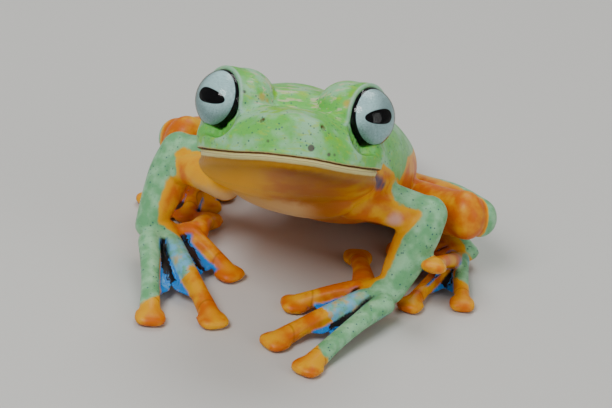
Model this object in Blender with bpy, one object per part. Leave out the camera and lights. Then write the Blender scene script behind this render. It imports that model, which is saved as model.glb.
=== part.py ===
"""Life-size model of a Reinwardt's flying frog crouched on its four feet, head raised.

Lengths in this file are millimetres and angles are degrees; meshes are written in metres.
The frog looks along -Y, its left side is +X, and Z = 0 is the floor under its feet.
Run it with blender --background --python part.py, or from Blender's text editor.
"""
import math

import bmesh
import bpy
from mathutils import Matrix, Vector

MM = 0.001
GAP = 0.3

# Head: a frame of its own, tipped up, with its origin midway between the two eyeballs
HEAD_ORIGIN = Vector((0.0, 0.0, 25.0))
HEAD_PITCH = 27.0
HEAD_HALF_WIDTH = 10.1
SNOUT_LENGTH = 9.6
MOUTH_LEVEL = -5.3
EYE_RADIUS = 3.55
EYE_SIDE = 7.45
EYE_LEVEL = 0.1
LID_TURN = 52.0
LID_OPENING = 75.0
LID_THICKNESS = 0.5
LID_RISE = 0.02
SKULL_TAPER = 0.46
TAPER_START = 0.1
JAW_SQUARENESS = 2.15
NOSTRIL = Vector((3.3, -8.2, -1.75))
NOSTRIL_RADIUS = 0.42
LIP_RADIUS = 0.48
EAR_RADIUS = 1.5

# Joints of the limbs, as places in the whole model
SHOULDER = {"left": Vector((7.2, 7.0, 13.0)), "right": Vector((-6.6, 9.5, 13.4))}
ELBOW = {"left": Vector((16.4, 6.0, 11.2)), "right": Vector((-12.9, 13.0, 12.0))}
WRIST = {"left": Vector((13.2, 1.8, 3.3)), "right": Vector((-15.3, 8.4, 4.3))}
HIP = {"left": Vector((9.8, 24.4, 3.5)), "right": Vector((4.4, 27.6, 3.6))}
KNEE = {"left": Vector((21.0, 10.8, 9.3)), "right": Vector((-12.9, 18.7, 10.8))}
HEEL = {"left": Vector((13.8, 31.2, 2.4)), "right": Vector((-1.0, 39.4, 2.6))}
ANKLE = {"left": Vector((18.8, 21.8, 2.1)), "right": Vector((-7.4, 32.4, 2.1))}

# Thickness of the limbs, as half widths
UPPER_ARM_RADIUS = 2.15
FOREARM_RADIUS = 2.35
WRIST_RADIUS = 1.65
THIGH_RADIUS = 2.9
SHIN_RADIUS = 2.3
TARSUS_RADIUS = 1.6
FINGER_RADIUS = 1.2
TOE_RADIUS = 0.95
FINGER_DISC_RADIUS = 1.75
TOE_DISC_RADIUS = 1.5
DISC_THICKNESS = 0.78
WEB_THICKNESS = 0.55
TRUNK_SQUARENESS = 2.25
RIDGE_RADIUS = 0.45

# Digits from the inner to the outer one: where each leaves the hand or foot, and its tip
FINGER_ROOTS = {
    "left": [(10.1, 4.2, 2.6), (9.6, 1.8, 2.7), (10.5, -0.1, 2.8), (12.5, -0.9, 2.8)],
    "right": [(-9.8, 11.6, 2.6), (-10.4, 9.8, 2.7), (-12.5, 6.8, 3.1), (-14.9, 5.9, 3.5)],
}
FINGER_TIPS = {
    "left": [(9.3, 12.4, 1.0), (2.9, 0.4, 0.7), (1.2, -8.3, 0.7), (5.0, -12.9, 0.7)],
    "right": [(-9.0, 17.2, 1.0), (-5.7, 5.9, 0.7), (-6.5, -5.2, 0.7), (-13.3, -6.2, 0.7)],
}
TOE_TIPS = {
    "left": [(14.3, 16.4, 0.7), (14.9, 10.6, 0.7), (17.7, 1.6, 7.2), (15.9, 3.8, 0.7),
             (21.7, 5.6, 0.7)],
    "right": [(-7.9, 26.0, 0.7), (-9.2, 22.2, 0.7), (-11.6, 19.0, 0.7), (-14.6, 18.8, 0.7),
              (-16.3, 22.0, 0.7)],
}
PALM_CENTRE = {"left": Vector((11.2, 1.2, 2.7)), "right": Vector((-12.8, 8.6, 3.0))}
SOLE_CENTRE = {"left": Vector((21.3, 15.4, 1.9)), "right": Vector((-10.2, 28.4, 1.8))}

COLOURS = {
    "green": (0.30, 0.56, 0.27, 1.0),
    "mint": (0.24, 0.46, 0.30, 1.0),
    "orange": (0.62, 0.17, 0.008, 1.0),
    "iris": (0.55, 0.68, 0.74, 1.0),
}
SKIN_ROUGHNESS = 0.45
EYE_ROUGHNESS = 0.08


def clear_scene():
    """Remove whatever the open file holds, so that the script can be run again."""
    for old_object in list(bpy.data.objects):
        bpy.data.objects.remove(old_object)


def make_material(name, roughness):
    """A plain Principled material of one of the named colours."""
    material = bpy.data.materials.new(name)
    material.use_nodes = True
    shader = material.node_tree.nodes["Principled BSDF"]
    shader.inputs["Base Color"].default_value = COLOURS[name]
    shader.inputs["Roughness"].default_value = roughness
    shader.inputs["Metallic"].default_value = 0.0
    return material


def object_from_bmesh(name, mesh_data):
    """Turn a bmesh in millimetres into an object in metres with its faces pointing out."""
    bmesh.ops.recalc_face_normals(mesh_data, faces=mesh_data.faces)
    bmesh.ops.scale(mesh_data, vec=(MM, MM, MM), verts=mesh_data.verts)
    mesh = bpy.data.meshes.new(name)
    mesh_data.to_mesh(mesh)
    mesh_data.free()
    made = bpy.data.objects.new(name, mesh)
    bpy.context.scene.collection.objects.link(made)
    return made


def smooth_stations(stations, steps):
    """Catmull-Rom curve through stations (x, y, z, half width, half height)."""
    points = [stations[0]] + list(stations) + [stations[-1]]
    curve = []
    for index in range(1, len(points) - 2):
        before, start, end, after = (Vector(p) for p in points[index - 1:index + 3])
        for step in range(steps):
            t = step / steps
            curve.append(0.5 * (2.0 * start + (end - before) * t
                                + (2.0 * before - 5.0 * start + 4.0 * end - after) * t ** 2
                                + (3.0 * start - before - 3.0 * end + after) * t ** 3))
    curve.append(Vector(stations[-1]))
    return curve


def squared(across, above):
    """Turn a circle into the rounder square of a trunk's cross-section."""
    power = TRUNK_SQUARENESS
    size = (abs(across) ** power + abs(above) ** power) ** (-1.0 / power)
    return across * size, above * size


def loft(stations, sides=12, steps=3, grow=0.0, profile=None):
    """Tube of elliptical rings along a smooth curve, closed by a dome at each end."""
    curve = smooth_stations(stations, steps)
    up = Vector((0.0, 0.0, 1.0))
    rings = []
    for index, station in enumerate(curve):
        place = Vector(station[:3])
        ahead = Vector(curve[min(index + 1, len(curve) - 1)][:3])
        behind = Vector(curve[max(index - 1, 0)][:3])
        along = (ahead - behind).normalized()
        side = along.cross(up).normalized()
        lift = side.cross(along)
        rings.append((place, along, side, lift, station[3] + grow, station[4] + grow))
    first, last = rings[0], rings[-1]
    dome = ((0.62, 0.78), (0.92, 0.40))
    start_dome = [(first[0] - first[1] * min(first[4], first[5]) * out,) + first[1:4]
                  + (first[4] * size, first[5] * size) for out, size in reversed(dome)]
    end_dome = [(last[0] + last[1] * min(last[4], last[5]) * out,) + last[1:4]
                + (last[4] * size, last[5] * size) for out, size in dome]
    return skin_rings(start_dome + rings + end_dome, sides, profile)


def skin_rings(rings, sides, profile=None):
    """Join rings (place, along, side, lift, width, height) into one closed mesh."""
    mesh_data = bmesh.new()
    loops = []
    for place, along, side, lift, width, height in rings:
        loop = []
        for corner in range(sides):
            angle = 2.0 * math.pi * corner / sides
            across, above = math.cos(angle), math.sin(angle)
            if profile:
                across, above = profile(across, above)
            loop.append(mesh_data.verts.new(place + side * width * across + lift * height * above))
        loops.append(loop)
    for lower, upper in zip(loops, loops[1:]):
        for corner in range(sides):
            following = (corner + 1) % sides
            mesh_data.faces.new((lower[corner], lower[following], upper[following], upper[corner]))
    for loop, ring, outward in ((loops[0], rings[0], -1.0), (loops[-1], rings[-1], 1.0)):
        tip = ring[0] + ring[1] * outward * 0.2 * min(ring[4], ring[5])
        pole = mesh_data.verts.new(tip)
        for corner in range(sides):
            mesh_data.faces.new((loop[corner], loop[(corner + 1) % sides], pole))
    return object_from_bmesh("piece", mesh_data)


def ellipsoid(centre, radii, turn=Matrix(), segments=14, rings=9, grow=0.0):
    """Ellipsoid with its own turn, centred in the model."""
    mesh_data = bmesh.new()
    bmesh.ops.create_uvsphere(mesh_data, u_segments=segments, v_segments=rings, radius=1.0)
    size = Matrix.Diagonal((radii[0] + grow, radii[1] + grow, radii[2] + grow, 1.0))
    mesh_data.transform(Matrix.Translation(centre) @ turn.to_4x4() @ size)
    return object_from_bmesh("piece", mesh_data)


def box(low, high):
    """Box between two corners."""
    mesh_data = bmesh.new()
    bmesh.ops.create_cube(mesh_data, size=1.0)
    low, high = Vector(low), Vector(high)
    size = high - low
    mesh_data.transform(Matrix.Translation((low + high) / 2.0)
                        @ Matrix.Diagonal((size.x, size.y, size.z, 1.0)))
    return object_from_bmesh("piece", mesh_data)


def apply_boolean(target, operation, tool=None, tools=None, solver="EXACT"):
    """Join or cut with a Boolean modifier, apply it and remove the tools."""
    modifier = target.modifiers.new("shape", "BOOLEAN")
    modifier.operation = operation
    modifier.solver = solver
    if tools is not None:
        group = bpy.data.collections.new("tools")
        for piece in tools:
            group.objects.link(piece)
        modifier.operand_type = "COLLECTION"
        modifier.collection = group
    else:
        modifier.object = tool
    view = bpy.context.evaluated_depsgraph_get()
    shaped = bpy.data.meshes.new_from_object(target.evaluated_get(view))
    target.modifiers.remove(modifier)
    old_mesh = target.data
    target.data = shaped
    bpy.data.meshes.remove(old_mesh)
    for piece in (tools if tools is not None else [tool]):
        bpy.data.objects.remove(piece)
    if tools is not None:
        bpy.data.collections.remove(group)
    keep_largest(target)


def keep_largest(target):
    """Keep only the closed surface with the most volume, which drops scraps and hollows."""
    mesh_data = bmesh.new()
    mesh_data.from_mesh(target.data)
    bmesh.ops.triangulate(mesh_data, faces=mesh_data.faces)
    unseen = set(mesh_data.faces)
    shells = []
    while unseen:
        seed = unseen.pop()
        shell, front = [seed], [seed]
        while front:
            face = front.pop()
            for edge in face.edges:
                for neighbour in edge.link_faces:
                    if neighbour in unseen:
                        unseen.remove(neighbour)
                        shell.append(neighbour)
                        front.append(neighbour)
        shells.append(shell)
    if len(shells) > 1:
        def volume(shell):
            return abs(sum(f.verts[0].co.dot(f.verts[1].co.cross(f.verts[2].co)) for f in shell))
        shells.sort(key=volume)
        scraps = [face for shell in shells[:-1] for face in shell]
        bmesh.ops.delete(mesh_data, geom=scraps, context="FACES")
    mesh_data.to_mesh(target.data)
    mesh_data.free()


def join(name, pieces):
    """Union of closed pieces as one named object."""
    body = pieces[0]
    if len(pieces) > 1:
        apply_boolean(body, "UNION", tools=pieces[1:])
    body.name = name
    body.data.name = name
    return body


def cut(body, cutters):
    """Take cutters away from a body, one after another."""
    for cutter in cutters:
        apply_boolean(body, "DIFFERENCE", tool=cutter)


def head_point(x, y, z):
    """Place in the model of a place in the head's own frame."""
    turn = Matrix.Rotation(math.radians(-HEAD_PITCH), 3, "X")
    return HEAD_ORIGIN + turn @ Vector((x, y, z))


def head_turn():
    """Rotation of the head's own frame."""
    return Matrix.Rotation(math.radians(-HEAD_PITCH), 3, "X")


def jaw_half_width(y):
    """Half width of the jaw's rounded outline at a place along the head."""
    reach = max(0.0, min(1.0, (y + SNOUT_LENGTH) / (SNOUT_LENGTH + 2.5)))
    return HEAD_HALF_WIDTH * (1.0 - (1.0 - reach) ** 2.3) ** (1.0 / 1.75)


def head_rings(stations, grow=0.0, taper=0.0, square=2.6, sides=20):
    """Squared rings across the head from stations (y, low, high, share of the jaw's width)."""
    turn = head_turn()
    along, side, lift = turn @ Vector((0, 1, 0)), turn @ Vector((1, 0, 0)), turn @ Vector((0, 0, 1))
    rings = []
    for y, low, high, share in stations:
        place = head_point(0.0, y, (low + high) / 2.0)
        width = jaw_half_width(y) * share + grow
        rings.append((place, along, side, lift, width, (high - low) / 2.0 + grow))

    def profile(across, above):
        size = (abs(across) ** square + abs(above) ** square) ** (-1.0 / square)
        across, above = across * size, above * size
        rise = max(0.0, (above - TAPER_START) / (1.0 - TAPER_START))
        return across * (1.0 - taper * rise ** 1.2), above

    return skin_rings(rings, sides, profile)


SKULL_STATIONS = [
    (-9.45, -5.6, -2.0, 1.0), (-9.2, -6.4, -1.3, 1.0), (-8.2, -7.2, -0.6, 1.0),
    (-6.4, -7.8, -0.2, 1.0), (-4.2, -8.0, 0.3, 1.0), (-1.6, -8.2, 1.3, 1.0),
    (1.4, -8.4, 2.4, 1.0), (4.4, -8.4, 3.2, 0.98), (7.2, -8.0, 3.2, 0.9),
    (9.2, -6.5, 2.4, 0.76),
]
JAW_STATIONS = [
    (-9.3, -6.0, -4.9, 0.96), (-8.8, -6.6, -4.4, 0.96), (-7.6, -7.1, -4.0, 0.97),
    (-5.4, -7.7, -4.0, 0.97), (-2.4, -8.5, -4.0, 0.97), (0.8, -9.4, -4.0, 0.97),
    (3.8, -10.0, -4.0, 0.95), (6.4, -9.6, -4.4, 0.86),
]


def lip_path(level, inset):
    """Round the jaw's edge from one corner of the mouth to the other."""
    stations = []
    for step in range(13):
        angle = math.radians(-82.0 + 164.0 * step / 12.0)
        y = 2.2 - (SNOUT_LENGTH + 1.6) * math.cos(angle) ** 0.8
        width = jaw_half_width(y) - inset
        x = width * (1.0 if angle > 0 else -1.0) if abs(angle) > 0.01 else 0.0
        place = head_point(x, y, level)
        stations.append((*place, LIP_RADIUS, LIP_RADIUS))
    return stations


def eye_centre(mirror):
    """Centre of an eyeball in the model; mirror is 1 on the left and -1 on the right."""
    return head_point(mirror * EYE_SIDE, 0.0, EYE_LEVEL)


def eyeball(mirror, grow=0.0, segments=20):
    """One eyeball."""
    radius = EYE_RADIUS + grow
    return ellipsoid(eye_centre(mirror), (radius,) * 3, head_turn(), segments, segments // 2)


def eye_cup(mirror):
    """Thin cup of skin round the eyeball, cut off in front where the lids part."""
    axis = head_turn() @ Vector((mirror * math.sin(math.radians(LID_TURN)),
                                 -math.cos(math.radians(LID_TURN)), LID_RISE))
    axis.normalize()
    cup = ellipsoid(eye_centre(mirror), (EYE_RADIUS + GAP + LID_THICKNESS,) * 3, head_turn(), 20, 10)
    depth = EYE_RADIUS * 2.0
    middle = EYE_RADIUS * math.cos(math.radians(LID_OPENING)) + depth / 2.0
    mesh_data = bmesh.new()
    bmesh.ops.create_cube(mesh_data, size=1.0)
    turn = axis.to_track_quat("Z", "Y").to_matrix().to_4x4()
    size = Matrix.Diagonal((depth * 2.0, depth * 2.0, depth, 1.0))
    mesh_data.transform(Matrix.Translation(eye_centre(mirror) + axis * middle) @ turn @ size)
    cut(cup, [object_from_bmesh("piece", mesh_data)])
    return cup


def ear(mirror, grow=0.0):
    """Round eardrum, raised a little behind the eye."""
    turn = head_turn() @ Matrix.Rotation(math.radians(mirror * 12.0), 3, "Z")
    centre = head_point(mirror * 9.45, 5.6, -1.8)
    return ellipsoid(centre, (0.5, EAR_RADIUS, EAR_RADIUS), turn, grow=grow)


def brow(mirror):
    """Domed brow that carries the eyeball."""
    return ellipsoid(head_point(mirror * 5.8, 1.2, -0.05), (3.85, 4.6, 4.08), head_turn(), 16, 10)


def ear_fold(mirror, grow=0.0):
    """Fold of skin from behind the eye, over the eardrum, to the shoulder."""
    stations = [(*head_point(mirror * 8.8, 2.8, 1.4), 0.8, 0.8),
                (*head_point(mirror * 9.6, 5.2, 0.6), 0.8, 0.8),
                (*head_point(mirror * 9.4, 7.6, -1.4), 0.7, 0.7)]
    return loft(stations, sides=8, steps=2, grow=grow)


def build_head():
    """Upper part of the head with brows, lids, nostrils, upper lip and eardrums."""
    skull = head_rings(SKULL_STATIONS, taper=SKULL_TAPER)
    pieces = [skull]
    for mirror in (1.0, -1.0):
        pieces += [brow(mirror), eye_cup(mirror), ear(mirror), ear_fold(mirror)]
    pieces.append(loft(lip_path(MOUTH_LEVEL + 0.2, 0.3), sides=8, steps=1))
    head = join("head", pieces)
    cut(head, [mouth_slab(MOUTH_LEVEL, -30.0)])
    cutters = []
    for mirror in (1.0, -1.0):
        cutters.append(eyeball(mirror, grow=GAP, segments=20))
        pit = head_point(mirror * NOSTRIL.x, NOSTRIL.y, NOSTRIL.z)
        cutters.append(ellipsoid(pit, (NOSTRIL_RADIUS, 0.9, NOSTRIL_RADIUS), head_turn(), 8, 5))
    cut(head, cutters)
    return head


def mouth_slab(top, bottom):
    """Slab across the head between two levels of the head's own frame."""
    mesh_data = bmesh.new()
    bmesh.ops.create_cube(mesh_data, size=1.0)
    reach = 40.0
    size = Matrix.Diagonal((reach, reach, top - bottom, 1.0))
    centre = Matrix.Translation((0.0, 0.0, (top + bottom) / 2.0))
    mesh_data.transform(Matrix.Translation(HEAD_ORIGIN) @ head_turn().to_4x4() @ centre @ size)
    return object_from_bmesh("piece", mesh_data)


def build_lower_jaw():
    """Lower jaw with its pale lip and the floor of the mouth."""
    jaw = head_rings(JAW_STATIONS, square=JAW_SQUARENESS)
    lip = loft(lip_path(MOUTH_LEVEL - GAP - 0.3, 0.25), sides=8, steps=1)
    body = join("lower_jaw", [jaw, lip])
    cut(body, [mouth_slab(30.0, MOUTH_LEVEL - GAP)])
    return body


TORSO_STATIONS = [
    (0.4, 1.8, 15.2, 8.0, 3.6), (1.2, 5.0, 15.9, 9.2, 5.3), (2.7, 10.0, 14.9, 9.8, 7.1),
    (4.8, 16.0, 11.9, 9.6, 7.3), (7.2, 22.5, 8.4, 8.2, 6.5), (9.3, 28.5, 5.9, 6.2, 5.2),
    (10.8, 32.8, 4.9, 4.4, 4.2), (11.7, 35.4, 4.6, 2.6, 2.6),
]
VENT_FLAP_OFFSET = Vector((0.4, 1.9, 1.3))
VENT_FLAP_SIZE = (1.7, 0.9, 0.5)


def torso_shape(grow=0.0):
    """Trunk from the nape to the vent."""
    return loft(TORSO_STATIONS, sides=20, steps=3, grow=grow, profile=squared)


def floor_cutter():
    """Everything under the floor."""
    return box((-80.0, -80.0, -20.0), (80.0, 80.0, 0.0))


def head_cutter():
    """Head and jaw, grown by the gap, to cut the nape and throat to them."""
    upper = head_rings(SKULL_STATIONS, taper=SKULL_TAPER, grow=GAP)
    cut(upper, [mouth_slab(MOUTH_LEVEL - GAP, -30.0)])
    lower = head_rings(JAW_STATIONS, square=JAW_SQUARENESS, grow=GAP)
    pieces = [upper, lower]
    for mirror in (1.0, -1.0):
        pieces += [ear(mirror, GAP), ear_fold(mirror, GAP)]
    return join("cutter", pieces)


def build_torso():
    """Trunk, cut to the head in front and flat where the belly meets the floor."""
    vent = Vector(TORSO_STATIONS[-1][:3]) + VENT_FLAP_OFFSET
    flap = ellipsoid(vent, VENT_FLAP_SIZE, Matrix(), 10, 6)
    torso = join("torso", [torso_shape(), flap])
    cut(torso, [head_cutter(), floor_cutter()])
    return torso


ARM_FOLD_STATIONS = {
    "left": [(7.4, 2.6, 13.2, 1.8, 1.8), (11.4, 4.6, 11.9, 1.7, 1.7), (15.4, 5.4, 10.0, 1.5, 1.5)],
    "right": [(-6.9, 3.6, 13.2, 1.9, 1.9), (-10.6, 8.4, 12.0, 1.9, 1.9), (-13.6, 11.4, 10.2, 1.5, 1.5)],
}


def arm_stations(side):
    """Upper arm from the shoulder to the elbow."""
    shoulder, elbow = SHOULDER[side], ELBOW[side]
    middle = shoulder.lerp(elbow, 0.5)
    return [(*shoulder, UPPER_ARM_RADIUS * 1.35, UPPER_ARM_RADIUS * 1.3),
            (*middle, UPPER_ARM_RADIUS * 1.05, UPPER_ARM_RADIUS),
            (*elbow, UPPER_ARM_RADIUS * 0.95, UPPER_ARM_RADIUS * 0.95)]


def arm_fold(side, grow=0.0):
    """Fold of skin from the chest along the underside of the upper arm to the elbow."""
    return loft(ARM_FOLD_STATIONS[side], sides=10, steps=2, grow=grow)


def forearm_stations(side):
    """Forearm from the elbow to the wrist."""
    elbow, wrist = ELBOW[side], WRIST[side]
    return [(*elbow, FOREARM_RADIUS * 0.95, FOREARM_RADIUS * 0.95),
            (*elbow.lerp(wrist, 0.3), FOREARM_RADIUS * 1.08, FOREARM_RADIUS),
            (*elbow.lerp(wrist, 0.7), FOREARM_RADIUS * 0.92, FOREARM_RADIUS * 0.85),
            (*wrist, WRIST_RADIUS, WRIST_RADIUS)]


def forearm_ridge(side, grow=0.0):
    """Fringe of skin along the outer edge of the forearm."""
    elbow, wrist = ELBOW[side], WRIST[side]
    along = (wrist - elbow).normalized()
    mirror = 1.0 if side == "left" else -1.0
    out = (Vector((mirror, 0.6, 0.0)) - along * along.dot(Vector((mirror, 0.6, 0.0)))).normalized()
    stations = []
    for t, depth in ((0.1, 0.85), (0.4, 1.0), (0.7, 0.85), (0.92, 0.68)):
        place = elbow.lerp(wrist, t) + out * FOREARM_RADIUS * depth
        stations.append((*place, RIDGE_RADIUS, RIDGE_RADIUS))
    return loft(stations, sides=6, steps=2, grow=grow)


def thigh_stations(side):
    """Thigh from the hip to the knee."""
    hip, knee = HIP[side], KNEE[side]
    return [(*hip, THIGH_RADIUS * 1.05, THIGH_RADIUS * 1.15),
            (*hip.lerp(knee, 0.4), THIGH_RADIUS, THIGH_RADIUS * 1.1),
            (*hip.lerp(knee, 0.8), THIGH_RADIUS * 0.85, THIGH_RADIUS * 0.95),
            (*knee, THIGH_RADIUS * 0.78, THIGH_RADIUS)]


def outward(side):
    """Level direction square to the thigh, away from the body."""
    along = KNEE[side] - HIP[side]
    across = Vector((along.y, -along.x, 0.0)).normalized()
    return -across if side == "left" else across


def shin_stations(side):
    """Shin, folded back beside the thigh from the knee to the heel."""
    start = KNEE[side] + outward(side) * THIGH_RADIUS * 0.75 + Vector((0.0, 0.0, -0.8))
    heel = HEEL[side]
    return [(*start, SHIN_RADIUS * 0.9, SHIN_RADIUS * 1.0),
            (*start.lerp(heel, 0.35), SHIN_RADIUS * 1.05, SHIN_RADIUS * 1.15),
            (*start.lerp(heel, 0.75), SHIN_RADIUS * 0.85, SHIN_RADIUS * 0.9),
            (*heel, SHIN_RADIUS * 0.72, SHIN_RADIUS * 0.8)]


def tarsus_stations(side):
    """Long ankle from the heel forward to the foot."""
    heel, ankle = HEEL[side], ANKLE[side]
    start = heel + (ankle - heel).normalized() * 1.0 + Vector((0.0, 0.0, -1.0))
    return [(*start, TARSUS_RADIUS * 1.1, TARSUS_RADIUS * 1.1),
            (*start.lerp(ankle, 0.5), TARSUS_RADIUS, TARSUS_RADIUS),
            (*ankle, TARSUS_RADIUS * 1.05, TARSUS_RADIUS * 0.95)]


def heel_flap(side):
    """Small pointed flap of skin on the heel."""
    back = (HEEL[side] - ANKLE[side]).normalized()
    centre = HEEL[side] + back * 1.6 + Vector((0.0, 0.0, -0.6))
    turn = Matrix.Rotation(math.atan2(back.y, back.x), 3, "Z")
    return ellipsoid(centre, (1.5, 1.0, 0.45), turn, 10, 6)


def digit_line(root, tip, arch):
    """Points along a digit: it leaves the hand or foot, arches and comes down on its disc."""
    root, tip = Vector(root), Vector(tip)
    points = []
    for t in (0.0, 0.35, 0.68, 1.0):
        place = root.lerp(tip, t)
        place.z += arch * math.sin(math.pi * t)
        points.append(place)
    return points


def digit(points, radius, disc_radius):
    """One finger or toe with its round disc."""
    sizes = (1.15, 0.92, 0.88, 1.05)
    stations = [(*place, radius * size, radius * size * 0.9) for place, size in zip(points, sizes)]
    tube = loft(stations, sides=8, steps=1)
    direction = (points[-1] - points[-2]).normalized()
    level = Vector((direction.x, direction.y, 0.0)).normalized()
    tilt = math.asin(direction.z) if points[-1].z > 2.0 else 0.0
    turn = Matrix.Rotation(math.atan2(level.y, level.x), 3, "Z") @ Matrix.Rotation(-tilt, 3, "Y")
    disc = ellipsoid(points[-1] + level * 0.4,
                     (disc_radius * 0.9, disc_radius, DISC_THICKNESS), turn, 10, 6)
    return [tube, disc]


def along_line(points, t):
    """Place at a share of the way along a line of points."""
    spans = len(points) - 1
    index = min(int(t * spans), spans - 1)
    return points[index].lerp(points[index + 1], t * spans - index)


def web(first, second, reach, fold):
    """Thin web between two digits, with a scalloped free edge and one ridge along its middle."""
    mesh_data = bmesh.new()
    rows, columns = 4, 4
    tops, bottoms = [], []
    half = WEB_THICKNESS / 2.0
    for row in range(rows + 1):
        top_row, bottom_row = [], []
        for column in range(columns + 1):
            v = column / columns
            scallop = 1.0 - 0.42 * math.sin(math.pi * v)
            t = 0.05 + (reach * scallop - 0.05) * row / rows
            place = along_line(first, t).lerp(along_line(second, t), v)
            sag = fold * math.sin(math.pi * v) * row / rows
            ridge = 0.2 * math.cos(math.pi * v * 4.0) * row / rows
            place.z = max(place.z - sag + ridge - 0.25, half + 0.12)
            top_row.append(mesh_data.verts.new(place + Vector((0.0, 0.0, half))))
            bottom_row.append(mesh_data.verts.new(place - Vector((0.0, 0.0, half))))
        tops.append(top_row)
        bottoms.append(bottom_row)
    for row in range(rows):
        for column in range(columns):
            for sheet in (tops, bottoms):
                a, b = sheet[row][column], sheet[row][column + 1]
                c, d = sheet[row + 1][column + 1], sheet[row + 1][column]
                mesh_data.faces.new((a, b, c))
                mesh_data.faces.new((a, c, d))
    rim_top = tops[0] + [r[-1] for r in tops[1:]] + tops[-1][-2::-1] + [r[0] for r in tops[-2:0:-1]]
    rim_low = (bottoms[0] + [r[-1] for r in bottoms[1:]] + bottoms[-1][-2::-1]
               + [r[0] for r in bottoms[-2:0:-1]])
    count = len(rim_top)
    for index in range(count):
        following = (index + 1) % count
        mesh_data.faces.new((rim_top[index], rim_top[following], rim_low[following], rim_low[index]))
    return object_from_bmesh("piece", mesh_data)


def build_hand(side):
    """Palm, four fingers with discs and the webs between them."""
    palm, wrist = PALM_CENTRE[side], WRIST[side]
    pieces = [loft([(*wrist, WRIST_RADIUS, WRIST_RADIUS),
                    (*wrist.lerp(palm, 0.6), WRIST_RADIUS * 1.3, WRIST_RADIUS),
                    (*palm, WRIST_RADIUS * 1.5, WRIST_RADIUS * 0.85)], sides=10, steps=1)]
    lines = []
    for root, tip in zip(FINGER_ROOTS[side], FINGER_TIPS[side]):
        lines.append(digit_line(root, tip, 0.4))
        pieces += digit(lines[-1], FINGER_RADIUS, FINGER_DISC_RADIUS)
        pieces.append(loft([(*palm, 1.3, 1.3), (*Vector(root), 1.3, 1.2)], sides=8, steps=1))
    for first, second, reach in zip(lines[1:], lines[2:], (0.78, 0.8)):
        pieces.append(web(first, second, reach, 0.5))
    return join("hand_" + side, pieces)


def build_foot(side):
    """Sole, five toes with discs and the webs between them."""
    sole, ankle = SOLE_CENTRE[side], ANKLE[side]
    pieces = [loft([(*ankle, TARSUS_RADIUS * 1.05, TARSUS_RADIUS * 0.95),
                    (*ankle.lerp(sole, 0.5), TARSUS_RADIUS * 1.25, TARSUS_RADIUS * 0.85),
                    (*sole, TARSUS_RADIUS * 1.5, TARSUS_RADIUS * 0.75)], sides=10, steps=1)]
    lines = []
    for tip in TOE_TIPS[side]:
        root = sole.lerp(Vector((tip[0], tip[1], sole.z)), 0.16)
        lines.append(digit_line(root, tip, 0.3))
        pieces += digit(lines[-1], TOE_RADIUS, TOE_DISC_RADIUS)
    for first, second in zip(lines, lines[1:]):
        pieces.append(web(first, second, 0.85, 0.3))
    return join("foot_" + side, pieces)


def build_limbs(side):
    """All the pieces of one side, each cut to the piece that it grows from."""
    made = []
    fold = arm_fold(side)
    cut(fold, [loft(forearm_stations(side), sides=14, grow=GAP)])
    upper = join("upper_arm_" + side, [loft(arm_stations(side), sides=14), fold])
    cut(upper, [torso_shape(GAP), head_cutter()])
    fore = join("forearm_" + side, [loft(forearm_stations(side), sides=14), forearm_ridge(side)])
    cut(fore, [loft(arm_stations(side), sides=14, grow=GAP)])
    hand = build_hand(side)
    cut(hand, [loft(forearm_stations(side), sides=14, grow=GAP), floor_cutter()])
    thigh = join("thigh_" + side, [loft(thigh_stations(side), sides=14)])
    cut(thigh, [torso_shape(GAP), floor_cutter()])
    shin = join("shin_" + side, [loft(shin_stations(side), sides=14)])
    cut(shin, [loft(thigh_stations(side), sides=14, grow=GAP), torso_shape(GAP), floor_cutter()])
    tarsus = join("tarsus_" + side, [loft(tarsus_stations(side), sides=12), heel_flap(side)])
    cut(tarsus, [loft(shin_stations(side), sides=14, grow=GAP),
                 loft(thigh_stations(side), sides=14, grow=GAP), torso_shape(GAP),
                 floor_cutter()])
    foot = build_foot(side)
    cut(foot, [loft(tarsus_stations(side), sides=12, grow=GAP),
               loft(shin_stations(side), sides=14, grow=GAP),
               loft(forearm_stations(side), sides=14, grow=GAP), forearm_ridge(side, GAP),
               floor_cutter()])
    made += [(upper, "mint"), (fore, "mint"), (hand, "orange"), (thigh, "orange"),
             (shin, "mint"), (tarsus, "mint"), (foot, "orange")]
    return made


def stand_on_origin(pieces):
    """Move the meshes so that the origin is under the middle of the whole frog's box."""
    corners = [vertex.co for piece in pieces for vertex in piece.data.vertices]
    middle_x = (min(c.x for c in corners) + max(c.x for c in corners)) / 2.0
    middle_y = (min(c.y for c in corners) + max(c.y for c in corners)) / 2.0
    for piece in pieces:
        piece.data.transform(Matrix.Translation((-middle_x, -middle_y, 0.0)))


def main():
    """Build every piece and give it its material."""
    clear_scene()
    skin = {name: make_material(name, SKIN_ROUGHNESS) for name in ("green", "mint", "orange")}
    skin["iris"] = make_material("iris", EYE_ROUGHNESS)
    made = [(build_head(), "green"), (build_lower_jaw(), "orange"), (build_torso(), "green")]
    for side in ("left", "right"):
        mirror = 1.0 if side == "left" else -1.0
        made.append((join("eye_" + side, [eyeball(mirror)]), "iris"))
        made += build_limbs(side)
    stand_on_origin([piece for piece, colour in made])
    for piece, colour in made:
        piece.data.materials.clear()
        piece.data.materials.append(skin[colour])
        piece.data.shade_smooth()
        piece.data.set_sharp_from_angle(angle=math.radians(50.0))


main()
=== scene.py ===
# %% [markdown]
# # A flying frog, crouched and looking at you
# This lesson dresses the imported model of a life-size tree frog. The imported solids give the
# true sizes; the pieces made here are finer and carry the colours. Every length below is in
# millimetres in the frog's own frame, and is turned into metres only when a mesh is made.

import bmesh
import bpy
import numpy as np
from mathutils import Matrix, Vector


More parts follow.
